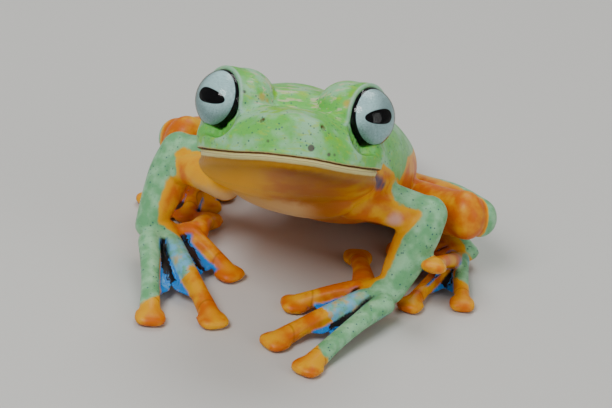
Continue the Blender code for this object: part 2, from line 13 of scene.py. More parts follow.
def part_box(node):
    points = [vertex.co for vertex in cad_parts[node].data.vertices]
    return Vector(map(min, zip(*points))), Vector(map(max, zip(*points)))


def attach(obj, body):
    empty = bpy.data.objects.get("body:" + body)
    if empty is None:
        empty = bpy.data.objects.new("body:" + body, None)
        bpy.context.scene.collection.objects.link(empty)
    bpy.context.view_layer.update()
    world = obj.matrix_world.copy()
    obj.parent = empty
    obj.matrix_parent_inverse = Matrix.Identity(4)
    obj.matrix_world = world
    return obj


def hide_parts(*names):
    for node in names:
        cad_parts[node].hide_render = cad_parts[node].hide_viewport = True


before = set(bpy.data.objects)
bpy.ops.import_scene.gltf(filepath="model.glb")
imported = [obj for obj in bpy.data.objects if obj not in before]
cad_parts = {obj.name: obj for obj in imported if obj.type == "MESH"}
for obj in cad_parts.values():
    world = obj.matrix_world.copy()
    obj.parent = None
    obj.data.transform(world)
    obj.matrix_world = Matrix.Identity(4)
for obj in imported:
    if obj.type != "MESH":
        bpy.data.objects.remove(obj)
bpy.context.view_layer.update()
MM = 0.001
print("nodes in the frame:", len(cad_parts))

# %% [markdown]
# The two eyeballs are the best landmarks on a frog. Their boxes in the frame give the middle
# of the head, and so the step from the frog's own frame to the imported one. The step could be
# typed in by hand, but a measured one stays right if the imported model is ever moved.

# %% Place the frog's own frame
HEAD_ORIGIN = np.array([0.0, 0.0, 25.0])
HEAD_PITCH = np.radians(27.0)
EYE_RADIUS = 3.55
EYE_SIDE = 7.45
EYE_LEVEL = 0.1
MOUTH_LEVEL = -5.3


def unit(vector):
    """The vector divided by its length."""
    vector = np.asarray(vector, float)
    return vector / np.linalg.norm(vector)


HEAD_TURN = np.array([[1.0, 0.0, 0.0],
                      [0.0, np.cos(HEAD_PITCH), np.sin(HEAD_PITCH)],
                      [0.0, -np.sin(HEAD_PITCH), np.cos(HEAD_PITCH)]])


def head_point(local):
    """Place in the frog's frame of places given in the tipped-up frame of the head."""
    return HEAD_ORIGIN + np.asarray(local, float) @ HEAD_TURN.T


eye_middle = np.mean([np.mean(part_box("eye_left"), axis=0), np.mean(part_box("eye_right"), axis=0)], axis=0)
SHIFT = eye_middle / MM - head_point([0.0, 0.0, EYE_LEVEL])
print("shift from the frog's frame to the packed one, mm:", SHIFT.round(3))


def to_world(points):
    """Millimetres in the frog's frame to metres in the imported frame."""
    return (np.asarray(points, float) + SHIFT) * MM


# %% [markdown]
# A portrait of a small animal is taken with a long lens from a little above. A camera could be
# dragged about until the view fits. Here it is worked out instead, so that the middle of the
# eyes falls on a chosen pixel at a chosen scale.

# %% Camera
IMAGE = (612, 408)
HEAD_PIXEL = (295.0, 110.0)
PIXELS_PER_MM = 9.15
LENS = 150.0
SENSOR = 36.0
CLIP = (0.005, 20.0)
ELEVATION = np.radians(27.0)
ROLL = np.radians(7.0)


def place_camera():
    """Camera whose axes are tipped down by the elevation and turned by the roll."""
    level = np.array([1.0, 0.0, 0.0])
    above = np.array([0.0, np.sin(ELEVATION), np.cos(ELEVATION)])
    view = np.array([0.0, np.cos(ELEVATION), -np.sin(ELEVATION)])
    right = level * np.cos(ROLL) + above * np.sin(ROLL)
    up = -level * np.sin(ROLL) + above * np.cos(ROLL)
    focal = LENS / SENSOR * IMAGE[0]
    distance = focal / PIXELS_PER_MM
    across = (HEAD_PIXEL[0] - IMAGE[0] / 2.0) / PIXELS_PER_MM
    lift = (IMAGE[1] / 2.0 - HEAD_PIXEL[1]) / PIXELS_PER_MM
    eye = HEAD_ORIGIN - view * distance - right * across - up * lift
    camera = bpy.data.objects.new("camera", bpy.data.cameras.new("camera"))
    bpy.context.scene.collection.objects.link(camera)
    turn = Matrix((right, up, -view)).transposed().to_4x4()
    turn.translation = Vector(to_world(eye))
    camera.matrix_world = turn
    camera.data.lens = LENS
    camera.data.sensor_width = SENSOR
    camera.data.clip_start, camera.data.clip_end = CLIP
    bpy.context.scene.camera = camera
    print("camera is", round(distance), "mm from the head")


place_camera()

# %% [markdown]
# Most of a frog is tubes: arms, legs, fingers and the trunk are all a rounded ring carried
# along a curve. They could be sculpted or made from curve objects. One helper that works out
# whole arrays makes them all, and its sizes are easy to read and change.

# %% Tubes and ellipsoids as arrays
DOME_ANGLES = np.radians([18.0, 36.0, 54.0, 72.0, 84.0])


def smooth_path(stations, steps):
    """Catmull-Rom curve: each span is the cubic through its two ends and their neighbours."""
    knots = np.asarray(stations, float)
    knots = np.vstack([knots[:1], knots, knots[-1:]])
    t = (np.arange(steps) / steps)[None, :, None]
    a, b, c, d = (knots[i:len(knots) - 3 + i][:, None, :] for i in range(4))
    spans = 0.5 * (2 * b + (c - a) * t + (2 * a - 5 * b + 4 * c - d) * t ** 2
                   + (3 * b - a - 3 * c + d) * t ** 3)
    return np.vstack([spans.reshape(-1, knots.shape[1]), knots[-2:-1]])


def grid_faces(rows, columns):
    """Quads of a grid whose last column joins its first, with a fan on each end's pole."""
    row, column = np.meshgrid(np.arange(rows - 1), np.arange(columns), indexing="ij")
    here = row * columns + column
    there = row * columns + (column + 1) % columns
    quads = np.stack([here, there, there + columns, here + columns], axis=-1).reshape(-1, 4)
    ring = np.arange(columns)
    start, end = rows * columns, rows * columns + 1
    first = np.stack([np.roll(ring, -1), ring, np.full(columns, start)], axis=-1)
    last = np.stack([ring, np.roll(ring, -1), np.full(columns, end)], axis=-1)
    last[:, :2] += (rows - 1) * columns
    return quads.tolist() + first.tolist() + last.tolist()


def tube(stations, steps=6, sides=24, squareness=2.0):
    """Ring of half width w and half height h along a path, with a round dome on each end.

    A point at angle a is path + side * w * cos(a) + lift * h * sin(a), pushed out to the
    superellipse |x|^n + |y|^n = 1; each dome shrinks the ring by the cosine of its own angle.
    """
    path = smooth_path(stations, steps)
    places, sizes = path[:, :3], path[:, 3:5]
    along = np.gradient(places, axis=0)
    along /= np.linalg.norm(along, axis=1, keepdims=True)
    side = np.cross(along, [0.0, 0.0, 1.0])
    side /= np.linalg.norm(side, axis=1, keepdims=True)
    lift = np.cross(side, along)
    ends = []
    for index, sign in ((0, -1.0), (-1, 1.0)):
        reach = sizes[index].min() * np.sin(DOME_ANGLES)[:, None]
        shrunk = sizes[index] * np.cos(DOME_ANGLES)[:, None]
        pole = places[index] + sign * along[index] * sizes[index].min()
        ends.append((places[index] + sign * along[index] * reach, shrunk,
                     side[index] + 0 * reach, lift[index] + 0 * reach, pole))
    first, last = ends
    places = np.vstack([first[0][::-1], places, last[0]])
    sizes = np.vstack([first[1][::-1], sizes, last[1]])
    side = np.vstack([first[2], side, last[2]])
    lift = np.vstack([first[3], lift, last[3]])
    angle = np.linspace(0.0, 2.0 * np.pi, sides, endpoint=False)
    x, y = np.cos(angle), np.sin(angle)
    out = (np.abs(x) ** squareness + np.abs(y) ** squareness) ** (-1.0 / squareness)
    rings = (places[:, None] + side[:, None] * (sizes[:, :1] * x * out)[..., None]
             + lift[:, None] * (sizes[:, 1:] * y * out)[..., None])
    points = np.vstack([rings.reshape(-1, 3), first[4], last[4]])
    return points, grid_faces(len(places), sides)


def ellipsoid(centre, radii, turn=np.eye(3), sides=32, squareness=2.0):
    """Point at longitude u and latitude v: centre + turn (a cos u cos v, b sin u cos v, c sin v).

    A squareness n above 2 pushes the longitude's circle out to |x|^n + |y|^n = 1.
    """
    rows = sides // 2 - 1
    v = np.linspace(-np.pi / 2, np.pi / 2, rows + 2)[1:-1]
    u = np.linspace(0.0, 2.0 * np.pi, sides, endpoint=False)
    out = (np.abs(np.cos(u)) ** squareness + np.abs(np.sin(u)) ** squareness) ** (-1.0 / squareness)
    shape = np.stack([np.cos(u) * out * np.cos(v)[:, None], np.sin(u) * out * np.cos(v)[:, None],
                      np.sin(v)[:, None] + 0 * u], axis=-1).reshape(-1, 3)
    shape = np.vstack([shape, [0.0, 0.0, -1.0], [0.0, 0.0, 1.0]]) * np.asarray(radii, float)
    return np.asarray(centre, float) + shape @ np.asarray(turn, float).T, grid_faces(rows, sides)


def put_together(pieces):
    """Pieces of (points, faces) as one list of points and one of faces."""
    points = np.vstack([piece[0] for piece in pieces])
    faces, first = [], 0
    for piece_points, piece_faces in pieces:
        faces += [[index + first for index in face] for face in piece_faces]
        first += len(piece_points)
    return points, faces


def make_object(name, points, faces):
    """One smooth object at the origin whose vertices are the points as given."""
    mesh = bpy.data.meshes.new(name)
    mesh.from_pydata(np.asarray(points, float).tolist(), [], faces)
    mesh.validate()
    mesh.shade_smooth()
    made = bpy.data.objects.new(name, mesh)
    bpy.context.scene.collection.objects.link(made)
    return made


print("each end of a tube is a dome of", len(DOME_ANGLES), "rings and a pole")

# %% [markdown]
# The limbs are given by their joints, as a doctor would name them: shoulder, elbow, wrist,
# hip, knee, heel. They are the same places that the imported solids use. Posing a rig would give
# them too, but a still model needs no bones, only the places.

# %% Joints and sizes of the limbs
SIDES = ("left", "right")
MIRROR = {"left": 1.0, "right": -1.0}
SHOULDER = {"left": (7.2, 7.0, 13.0), "right": (-6.6, 9.5, 13.4)}
ELBOW = {"left": (16.4, 6.0, 11.2), "right": (-12.9, 13.0, 12.0)}
WRIST = {"left": (13.2, 1.8, 3.3), "right": (-15.3, 8.4, 4.3)}
PALM = {"left": (11.2, 1.2, 2.7), "right": (-12.8, 8.6, 3.0)}
HIP = {"left": (9.8, 24.4, 3.5), "right": (4.4, 27.6, 3.6)}
KNEE = {"left": (21.0, 10.8, 9.3), "right": (-12.9, 18.7, 10.8)}
HEEL = {"left": (13.8, 31.2, 2.4), "right": (-1.0, 39.4, 2.6)}
ANKLE = {"left": (18.8, 21.8, 2.1), "right": (-7.4, 32.4, 2.1)}
SOLE = {"left": (21.3, 15.4, 1.9), "right": (-10.2, 28.4, 1.8)}
FINGER_ROOTS = {
    "left": [(10.1, 4.2, 2.6), (9.6, 1.8, 2.7), (10.5, -0.1, 2.8), (12.5, -0.9, 2.8)],
    "right": [(-9.8, 11.6, 2.6), (-10.4, 9.8, 2.7), (-12.5, 6.8, 3.1), (-14.9, 5.9, 3.5)],
}
FINGER_TIPS = {
    "left": [(9.3, 12.4, 1.0), (2.9, 0.4, 0.7), (1.2, -8.3, 0.7), (5.0, -12.9, 0.7)],
    "right": [(-9.0, 17.2, 1.0), (-5.7, 5.9, 0.7), (-6.5, -5.2, 0.7), (-13.3, -6.2, 0.7)],
}
TOE_TIPS = {
    "left": [(14.3, 16.4, 0.7), (14.9, 10.6, 0.7), (17.7, 1.6, 7.2), (15.9, 3.8, 0.7),
             (21.7, 5.6, 0.7)],
    "right": [(-7.9, 26.0, 0.7), (-9.2, 22.2, 0.7), (-11.6, 19.0, 0.7), (-14.6, 18.8, 0.7),
              (-16.3, 22.0, 0.7)],
}
UPPER_ARM_RADIUS = 2.15
FOREARM_RADIUS = 2.35
WRIST_RADIUS = 1.65
THIGH_RADIUS = 2.9
SHIN_RADIUS = 2.3
TARSUS_RADIUS = 1.6
FINGER_RADIUS = 1.2
TOE_RADIUS = 0.95
FINGER_DISC = 1.75
TOE_DISC = 1.5
DISC_THICKNESS = 0.78
SHIN_BESIDE = 0.75
SHIN_LOWER = 0.8
TRUNK = [
    (0.4, 1.8, 15.2, 8.0, 3.6), (1.2, 5.0, 15.9, 9.2, 5.3), (2.7, 10.0, 14.9, 9.8, 7.1),
    (4.8, 16.0, 11.9, 9.6, 7.3), (7.2, 22.5, 8.4, 8.2, 6.5), (9.3, 28.5, 5.9, 6.2, 5.2),
    (10.8, 32.8, 4.9, 4.4, 4.2), (11.7, 35.4, 4.6, 2.6, 2.6),
]


def between(start, end, share):
    """Place at a share of the way from one place to another."""
    return np.asarray(start, float) * (1.0 - share) + np.asarray(end, float) * share


def station(place, width, height):
    """One row of a tube: place, half width and half height."""
    return (*np.asarray(place, float), width, height)


def shin_start(side):
    """The shin begins beside the knee, away from the body and a little lower."""
    along = np.subtract(KNEE[side], HIP[side])
    across = unit([along[1], -along[0], 0.0]) * -MIRROR[side]
    return np.asarray(KNEE[side]) + across * THIGH_RADIUS * SHIN_BESIDE - np.array([0.0, 0.0, SHIN_LOWER])


def tarsus_start(side):
    """The long ankle begins 1 mm in front of the heel and 1 mm below it, under the shin."""
    heel = np.asarray(HEEL[side], float)
    return heel + unit(np.subtract(ANKLE[side], heel)) + np.array([0.0, 0.0, -1.0])


def limb_tubes(side):
    """Stations of the seven long pieces of one side."""
    arm, fore, thigh = UPPER_ARM_RADIUS, FOREARM_RADIUS, THIGH_RADIUS
    shin, tarsus, knee, start = SHIN_RADIUS, TARSUS_RADIUS, KNEE[side], shin_start(side)
    return {
        "upper_arm": [station(SHOULDER[side], arm * 1.35, arm * 1.3),
                      station(between(SHOULDER[side], ELBOW[side], 0.5), arm * 1.05, arm),
                      station(ELBOW[side], arm * 0.95, arm * 0.95)],
        "forearm": [station(ELBOW[side], fore * 0.95, fore * 0.95),
                    station(between(ELBOW[side], WRIST[side], 0.3), fore * 1.08, fore),
                    station(between(ELBOW[side], WRIST[side], 0.7), fore * 0.92, fore * 0.85),
                    station(WRIST[side], WRIST_RADIUS, WRIST_RADIUS)],
        "thigh": [station(HIP[side], thigh * 1.05, thigh * 1.15),
                  station(between(HIP[side], knee, 0.4), thigh, thigh * 1.1),
                  station(between(HIP[side], knee, 0.8), thigh * 0.85, thigh * 0.95),
                  station(knee, thigh * 0.78, thigh)],
        "shin": [station(start, shin * 0.9, shin),
                 station(between(start, HEEL[side], 0.35), shin * 1.05, shin * 1.15),
                 station(between(start, HEEL[side], 0.75), shin * 0.85, shin * 0.9),
                 station(HEEL[side], shin * 0.72, shin * 0.8)],
        "tarsus": [station(tarsus_start(side), tarsus * 1.1, tarsus * 1.1),
                   station(between(tarsus_start(side), ANKLE[side], 0.5), tarsus, tarsus),
                   station(ANKLE[side], tarsus * 1.05, tarsus * 0.95)],
        "sole": [station(ANKLE[side], tarsus * 1.05, tarsus * 0.95),
                 station(between(ANKLE[side], SOLE[side], 0.5), tarsus * 1.25, tarsus * 0.85),
                 station(SOLE[side], tarsus * 1.5, tarsus * 0.75)],
        "palm": [station(WRIST[side], WRIST_RADIUS, WRIST_RADIUS),
                 station(between(WRIST[side], PALM[side], 0.6), WRIST_RADIUS * 1.3, WRIST_RADIUS),
                 station(PALM[side], WRIST_RADIUS * 1.5, WRIST_RADIUS * 0.85)],
    }


def digit_line(root, tip, arch):
    """A digit leaves the hand or foot, arches by a sine and comes down on its disc."""
    t = np.array([0.0, 0.35, 0.68, 1.0])
    line = between(root, tip, t[:, None])
    line[:, 2] += arch * np.sin(np.pi * t)
    return line


def digit_lines(side):
    """Lines of the four fingers and the five toes of one side."""
    fingers = [digit_line(root, tip, 0.4) for root, tip in zip(FINGER_ROOTS[side], FINGER_TIPS[side])]
    toes = []
    for tip in TOE_TIPS[side]:
        root = between(SOLE[side], (tip[0], tip[1], SOLE[side][2]), 0.16)
        toes.append(digit_line(root, tip, 0.3))
    return fingers, toes


print("one side has", len(limb_tubes("left")), "long pieces and 9 digits")

# %% [markdown]
# A hand of this frog is a palm, four fingers with a round pad on each, and thin webs that
# hang between the fingers with a hollow edge. A web could be a plain sheet with a thickness
# added by a modifier. Here it is a ring squeezed flat, so that it is closed from the start.

# %% Digits and webs
DIGIT_TAPER = np.array([1.15, 0.92, 0.88, 1.05])
DIGIT_LEANS_ABOVE = 2.0
PAD_AHEAD = 0.4
PAD_LENGTH = 0.9
PAD_SQUARENESS = 2.9
KNUCKLE_RADIUS = 1.3
WEB_THICKNESS = 0.6
WEB_COLUMNS = 16
WEB_START = 0.05
WEB_HOLLOW = 0.42
WEB_RIPPLE = 0.2
WEB_LOWER = 0.25
WEB_ABOVE_FLOOR = 0.12


def along_line(line, t):
    """Places at shares t of the way along a line of points."""
    knots = np.linspace(0.0, 1.0, len(line))
    return np.stack([np.interp(t, knots, line[:, axis]) for axis in range(3)], axis=-1)


def digit(line, radius, disc):
    """A tapered tube and the flat round pad that it ends in."""
    made = tube([station(place, size, size * 0.9) for place, size in zip(line, DIGIT_TAPER * radius)], 5, 20)
    step = line[-1] - line[-2]
    level = unit([step[0], step[1], 0.0])
    tilt = np.arcsin(unit(step)[2]) if line[-1][2] > DIGIT_LEANS_ABOVE else 0.0
    ahead = level * np.cos(tilt) + np.array([0.0, 0.0, np.sin(tilt)])
    side = np.cross([0.0, 0.0, 1.0], level)
    turn = np.stack([ahead, side, np.cross(ahead, side)], axis=-1)
    pad = ellipsoid(line[-1] + level * PAD_AHEAD, (disc * PAD_LENGTH, disc, DISC_THICKNESS), turn, 40,
                    PAD_SQUARENESS)
    return [made, pad]


def web(first, second, reach, fold, rows=20):
    """Sheet between two digits: (1 - v) a(t) + v b(t), with t cut short by a sine of v."""
    v = np.linspace(0.0, 1.0, WEB_COLUMNS)
    share = np.linspace(0.0, 1.0, rows)[:, None]
    t = WEB_START + (reach * (1.0 - WEB_HOLLOW * np.sin(np.pi * v)) - WEB_START) * share
    middle = along_line(first, t) * (1.0 - v)[:, None] + along_line(second, t) * v[:, None]
    middle[..., 2] += (WEB_RIPPLE * np.cos(4.0 * np.pi * v) - fold * np.sin(np.pi * v)) * share - WEB_LOWER
    middle[..., 2] = np.maximum(middle[..., 2], WEB_THICKNESS / 2.0 + WEB_ABOVE_FLOOR)
    half = np.array([0.0, 0.0, WEB_THICKNESS / 2.0])
    rings = np.concatenate([middle + half, middle[:, ::-1] - half], axis=1)
    points = np.vstack([rings.reshape(-1, 3), rings[0].mean(axis=0), rings[-1].mean(axis=0)])
    return points, grid_faces(rows, 2 * WEB_COLUMNS), middle.reshape(-1, 3)


def hand_and_foot(side):
    """Solid pieces of a hand and a foot, and the middle sheets of their webs."""
    fingers, toes = digit_lines(side)
    pieces, sheets = [], []
    for line, root in zip(fingers, FINGER_ROOTS[side]):
        pieces += digit(line, FINGER_RADIUS, FINGER_DISC)
        pieces.append(tube([station(PALM[side], KNUCKLE_RADIUS, KNUCKLE_RADIUS),
                            station(root, KNUCKLE_RADIUS, FINGER_RADIUS)], 3, 16))
    for line in toes:
        pieces += digit(line, TOE_RADIUS, TOE_DISC)
    spans = [(fingers[1], fingers[2], 0.78, 0.5), (fingers[2], fingers[3], 0.8, 0.5)]
    spans += [(first, second, 0.85, 0.3) for first, second in zip(toes, toes[1:])]
    for span in spans:
        points, faces, sheet = web(*span)
        pieces.append((points, faces))
        sheets.append(sheet)
    return pieces, sheets


print("webs on one side:", len(hand_and_foot("left")[1]))

# %% [markdown]
# The head is wide and flat, like a cushion with a round front edge. Sculpting would be usual
# for a face. Here one formula gives its outline from above, and the rings that make it are
# squared ovals, narrower at the top, so both halves match and the mouth keeps its width. A
# round cup stands out on each side for the eye, with a brow behind it.

# %% Outline and rings of the head
SNOUT_LENGTH = 9.6
HEAD_HALF_WIDTH = 10.1
CHEEK_PLACE = 2.5
SKULL = [
    (-9.45, -5.6, -2.0, 1.0), (-9.2, -6.4, -1.3, 1.0), (-8.2, -7.2, -0.6, 1.0),
    (-6.4, -7.8, -0.2, 1.0), (-4.2, -8.0, 0.3, 1.0), (-1.6, -8.2, 1.3, 1.0),
    (1.4, -8.4, 2.4, 1.0), (4.4, -8.4, 3.2, 0.98), (7.2, -8.0, 3.2, 0.9),
    (9.2, -6.5, 2.4, 0.76),
]
JAW = [
    (-9.3, -6.0, -4.9, 0.96), (-8.8, -6.6, -4.4, 0.96), (-7.6, -7.1, -4.0, 0.97),
    (-5.4, -7.7, -4.0, 0.97), (-2.4, -8.5, -4.0, 0.97), (0.8, -9.4, -4.0, 0.97),
    (3.8, -10.0, -4.0, 0.95), (6.4, -9.6, -4.4, 0.86),
]
SKULL_TAPER = 0.46
TAPER_START = 0.1
JAW_SQUARENESS = 2.15
CHEEK_RING = EYE_RADIUS + 0.6
CHEEK_LOWEST = 0.72
CHEEK_INNER = 2.3
CHEEK_SOFTNESS = 0.12
BROW_PLACE = np.array([5.8, 1.2, -0.05])
BROW_RADII = (3.85, 4.6, 4.08)
LID_THICKNESS = 0.3


def head_local(points):
    """Places in the tipped-up frame of the head."""
    return (points - HEAD_ORIGIN) @ HEAD_TURN


def bell(distance, width):
    """exp(-(d / w)^2): 1 at no distance and near nothing beyond two widths."""
    return np.exp(-(distance / width) ** 2)


def rise(value, start, end):
    """Smooth step 3 t^2 - 2 t^3 from 0 at the start to 1 at the end."""
    t = np.clip((value - start) / (end - start), 0.0, 1.0)
    return t * t * (3.0 - 2.0 * t)


def jaw_half_width(y):
    """Half width at y: W (1 - (1 - s)^2.3)^(1 / 1.75), s from 0 at the snout to 1 at the cheek."""
    reach = np.clip((y + SNOUT_LENGTH) / (SNOUT_LENGTH + CHEEK_PLACE), 0.0, 1.0)
    return HEAD_HALF_WIDTH * (1.0 - (1.0 - reach) ** 2.3) ** (1.0 / 1.75)


def head_shell(rows, taper=0.0, square=2.6, floor=-20.0, sides=72):
    """Rings |x|^n + |z|^n = 1 across the head, x times 1 - taper t^1.2 as t rises above the middle."""
    y, low, high, share = smooth_path(rows, 4).T
    width = jaw_half_width(y) * share
    angle = np.linspace(0.0, 2.0 * np.pi, sides, endpoint=False)
    x, z = np.cos(angle), np.sin(angle)
    out = (np.abs(x) ** square + np.abs(z) ** square) ** (-1.0 / square)
    x, z = x * out, z * out
    x = x * (1.0 - taper * np.clip((z - TAPER_START) / (1.0 - TAPER_START), 0.0, 1.0) ** 1.2)
    rings = np.stack([width[:, None] * x, y[:, None] + 0.0 * x,
                      (low + high)[:, None] / 2.0 + (high - low)[:, None] / 2.0 * z], axis=-1)
    rings[..., 2] = np.maximum(rings[..., 2], floor)
    points = np.vstack([rings.reshape(-1, 3), rings[0].mean(axis=0), rings[-1].mean(axis=0)])
    return head_point(points), grid_faces(len(y), sides)


def below_the_eye(local, share):
    """Lowers places in front of an eye to a curve round the lower edge of the eyeball.

    The new height is the soft minimum z - k log(1 + exp((z - c) / k)) of the height z and the
    curve c, half an ellipse on the nose side of the ball's lowest place and a circle beyond it.
    """
    across = np.abs(local[:, 0]) - EYE_SIDE
    drop = np.sqrt(CHEEK_RING ** 2 - CHEEK_LOWEST ** 2)
    inward = np.clip((CHEEK_LOWEST - across) / CHEEK_INNER, 0.0, 1.0)
    nose_side = drop * np.sqrt(1.0 - inward ** 2)
    beyond = np.sqrt(np.maximum(CHEEK_RING ** 2 - across ** 2, 0.0))
    level = EYE_LEVEL - np.where(across < CHEEK_LOWEST, nose_side, beyond)
    excess = np.clip(local[:, 2] - level, -2.0, 6.0)
    share = share * (1.0 - rise(across, 2.4, 3.2))
    moved = local.copy()
    moved[:, 2] -= CHEEK_SOFTNESS * np.log1p(np.exp(excess / CHEEK_SOFTNESS)) * share
    return moved


def head_pieces():
    """Skull, lower jaw, brows and the round cups that carry the eyes."""
    skull, skull_faces = head_shell(SKULL, SKULL_TAPER, floor=MOUTH_LEVEL - 0.2)
    local = head_local(skull)
    skull = head_point(below_the_eye(local, rise(-local[:, 1], -0.5, 1.2)))
    made = [(skull, skull_faces), head_shell(JAW, 0.0, JAW_SQUARENESS)]
    for mirror in (1.0, -1.0):
        brow, eye = BROW_PLACE * [mirror, 1.0, 1.0], [mirror * EYE_SIDE, 0.0, EYE_LEVEL]
        made.append(ellipsoid(head_point(brow), BROW_RADII, HEAD_TURN, 48))
        made.append(ellipsoid(head_point(eye), (EYE_RADIUS + LID_THICKNESS,) * 3, HEAD_TURN, 64))
    return made


print("pieces of the head:", len(head_pieces()))

# %% [markdown]
# Skin has no seams, so all the pieces are poured together: a voxel remesh keeps only the
# outside of their union, where Booleans would leave hard creases. Relaxing the net rounds the
# creases where limbs meet the body, the way flesh does, and a second push in the other
# direction keeps the limbs from shrinking. The nape is relaxed most, so that the head runs
# into the back. A fold of loose skin lies over the front of each arm.

# %% One skin from many pieces
VOXEL = 0.24
SKIN_ROUNDS = 30
NAPE_ROUNDS = 150
ARM_FOLD = {
    "left": [(7.4, 2.6, 13.2, 1.8, 1.8), (11.4, 4.6, 11.9, 1.7, 1.7), (15.4, 5.4, 10.0, 1.5, 1.5)],
    "right": [(-6.9, 3.6, 13.2, 1.9, 1.9), (-10.6, 8.4, 12.0, 1.9, 1.9), (-13.6, 11.4, 10.2, 1.5, 1.5)],
}


def body_pieces():
    """Every solid piece of the frog, and the middle sheets of its webs."""
    pieces, sheets = head_pieces(), []
    pieces.append(tube(TRUNK, 6, 64, 2.25))
    for side in SIDES:
        pieces += [tube(rows, 8, 40) for rows in limb_tubes(side).values()]
        pieces.append(tube(ARM_FOLD[side], 6, 24))
        made, webs = hand_and_foot(side)
        pieces += made
        sheets += webs
    return pieces, sheets


def evaluated(work):
    """Points and faces of an object after its modifiers; the object is then removed."""
    graph = bpy.context.evaluated_depsgraph_get()
    mesh = bpy.data.meshes.new_from_object(work.evaluated_get(graph))
    points = np.empty(len(mesh.vertices) * 3)
    mesh.vertices.foreach_get("co", points)
    corners = np.empty(len(mesh.loops), dtype=np.int64)
    mesh.loops.foreach_get("vertex_index", corners)
    width = len(mesh.polygons[0].vertices)
    bpy.data.meshes.remove(mesh)
    bpy.data.meshes.remove(work.data)
    return points.reshape(-1, 3), corners.reshape(-1, width)


def poured(pieces, size):
    """Closed net of quads round the union of the pieces."""
    work = make_object("clay", *put_together(pieces))
    remesh = work.modifiers.new("pour", "REMESH")
    remesh.mode = "VOXEL"
    remesh.voxel_size = size
    return evaluated(work)


def relax(points, faces, rounds, free=1.0, shares=(0.5, -0.53)):
    """Each vertex moves these shares, times its own freedom, to the mean of its neighbours."""
    start = faces.ravel()
    end = np.roll(faces, -1, axis=1).ravel()
    count = np.bincount(start, minlength=len(points))[:, None]
    free = np.broadcast_to(free, len(points))[:, None]
    for _ in range(rounds):
        for share in shares:
            total = np.stack([np.bincount(start, points[end, axis], len(points))
                              for axis in range(3)], axis=-1)
            points = points + (total / count - points) * share * free
    return points


def vertex_normals(points, faces):
    """Mean direction of the faces round each vertex, outward."""
    across = np.cross(points[faces[:, 2]] - points[faces[:, 0]],
                      points[faces[:, -1]] - points[faces[:, 1]])
    total = np.zeros_like(points)
    for corner in range(faces.shape[1]):
        total += np.stack([np.bincount(faces[:, corner], across[:, axis], len(points))
                           for axis in range(3)], axis=-1)
    return total / np.maximum(np.linalg.norm(total, axis=1, keepdims=True), 1e-9)


pieces, web_sheets = body_pieces()
skin_points, skin_faces = poured(pieces, VOXEL)
skin_points = relax(skin_points, skin_faces, SKIN_ROUNDS)
nape = bell(skin_points[:, 1] - 9.0, 4.0) * rise(skin_points[:, 2], 15.5, 19.0)
skin_points = relax(skin_points, skin_faces, NAPE_ROUNDS, nape, (0.5,))
print("poured skin:", len(skin_points), "vertices")

# %% [markdown]
# The eyelids, lips and nostrils are finer than the net. A finer net everywhere would make the
# skin far too heavy, so it is cut finer only near them.

# %% Finer net on the face
LID_TURN = np.radians(52.0)
LID_RISE = 0.02
LID_OPENING = 75.0
LID_DROP = 7.0
NOSTRIL = np.array([3.3, -8.2, -1.75])


def lid_angle(local, mirror):
    """Degrees from the middle of the lids' opening, distance to the eye's middle, and height.

    The opening reaches a few degrees further below the ball than beside it.
    """
    axis = unit([mirror * np.sin(LID_TURN), -np.cos(LID_TURN), LID_RISE])
    away = local - np.array([mirror * EYE_SIDE, 0.0, EYE_LEVEL])
    reach = np.linalg.norm(away, axis=1)
    below = np.clip(-away[:, 2] / reach, 0.0, 1.0) * (1.0 - np.clip(away[:, 1] / reach, 0.0, 1.0))
    angle = np.degrees(np.arccos(np.clip(away @ axis / reach, -1.0, 1.0))) - LID_DROP * below
    return angle, reach, away[:, 2]


def fine_places(local):
    """True near the lids' edges, the lips and the nostrils."""
    near = (np.abs(local[:, 2] - MOUTH_LEVEL + 0.3) < 1.3) & (local[:, 1] < 3.5)
    for mirror in (1.0, -1.0):
        angle, reach, _ = lid_angle(local, mirror)
        near |= (np.abs(angle - LID_OPENING - 1.0) < 11.0) & (reach < 5.0)
        near |= np.linalg.norm(local - NOSTRIL * [mirror, 1.0, 1.0], axis=1) < 1.4
    return near


def refine(points, faces, chosen):
    """Cuts every edge between chosen vertices in two and returns a net of triangles."""
    mesh = bpy.data.meshes.new("work")
    mesh.from_pydata(points.tolist(), [], faces.tolist())
    net = bmesh.new()
    net.from_mesh(mesh)
    net.verts.ensure_lookup_table()
    inside = set(np.nonzero(chosen)[0].tolist())
    edges = [edge for edge in net.edges
             if edge.verts[0].index in inside and edge.verts[1].index in inside]
    bmesh.ops.subdivide_edges(net, edges=edges, cuts=1, use_grid_fill=True)
    bmesh.ops.triangulate(net, faces=net.faces[:])
    net.to_mesh(mesh)
    net.free()
    return evaluated(bpy.data.objects.new("work", mesh))


skin_points, skin_faces = refine(skin_points, skin_faces, fine_places(head_local(skin_points)))
print("finer net:", len(skin_points), "vertices,", len(skin_faces), "triangles")

# %% [markdown]
# A frog's lids are a thin rolled edge round the ball, its lips are two fine ridges with a line
# between them, and its nostrils are small pits on low mounds. Each could be sculpted with a
# brush. Here each is a smooth bump or hollow whose height follows a formula, so it can be set
# to a tenth of a millimetre. Then the cheek is lowered to show the lower edge of each ball.

# %% Lids, lips, nostrils and folds
SNOUT_RIDGE = [(2.6, -8.6, -1.3), (4.2, -6.4, -0.6), (5.4, -4.4, 0.6)]
SNOUT_HOLLOW = (6.0, -6.6, -2.4)
EARDRUM = (9.5, 5.6, -1.8)
EARDRUM_RADIUS = 1.35
EAR_FOLD = [(9.2, 3.6, 1.0), (9.7, 5.4, 0.5), (9.5, 7.4, -1.6)]
INSIDE_BALL = EYE_RADIUS - 0.55


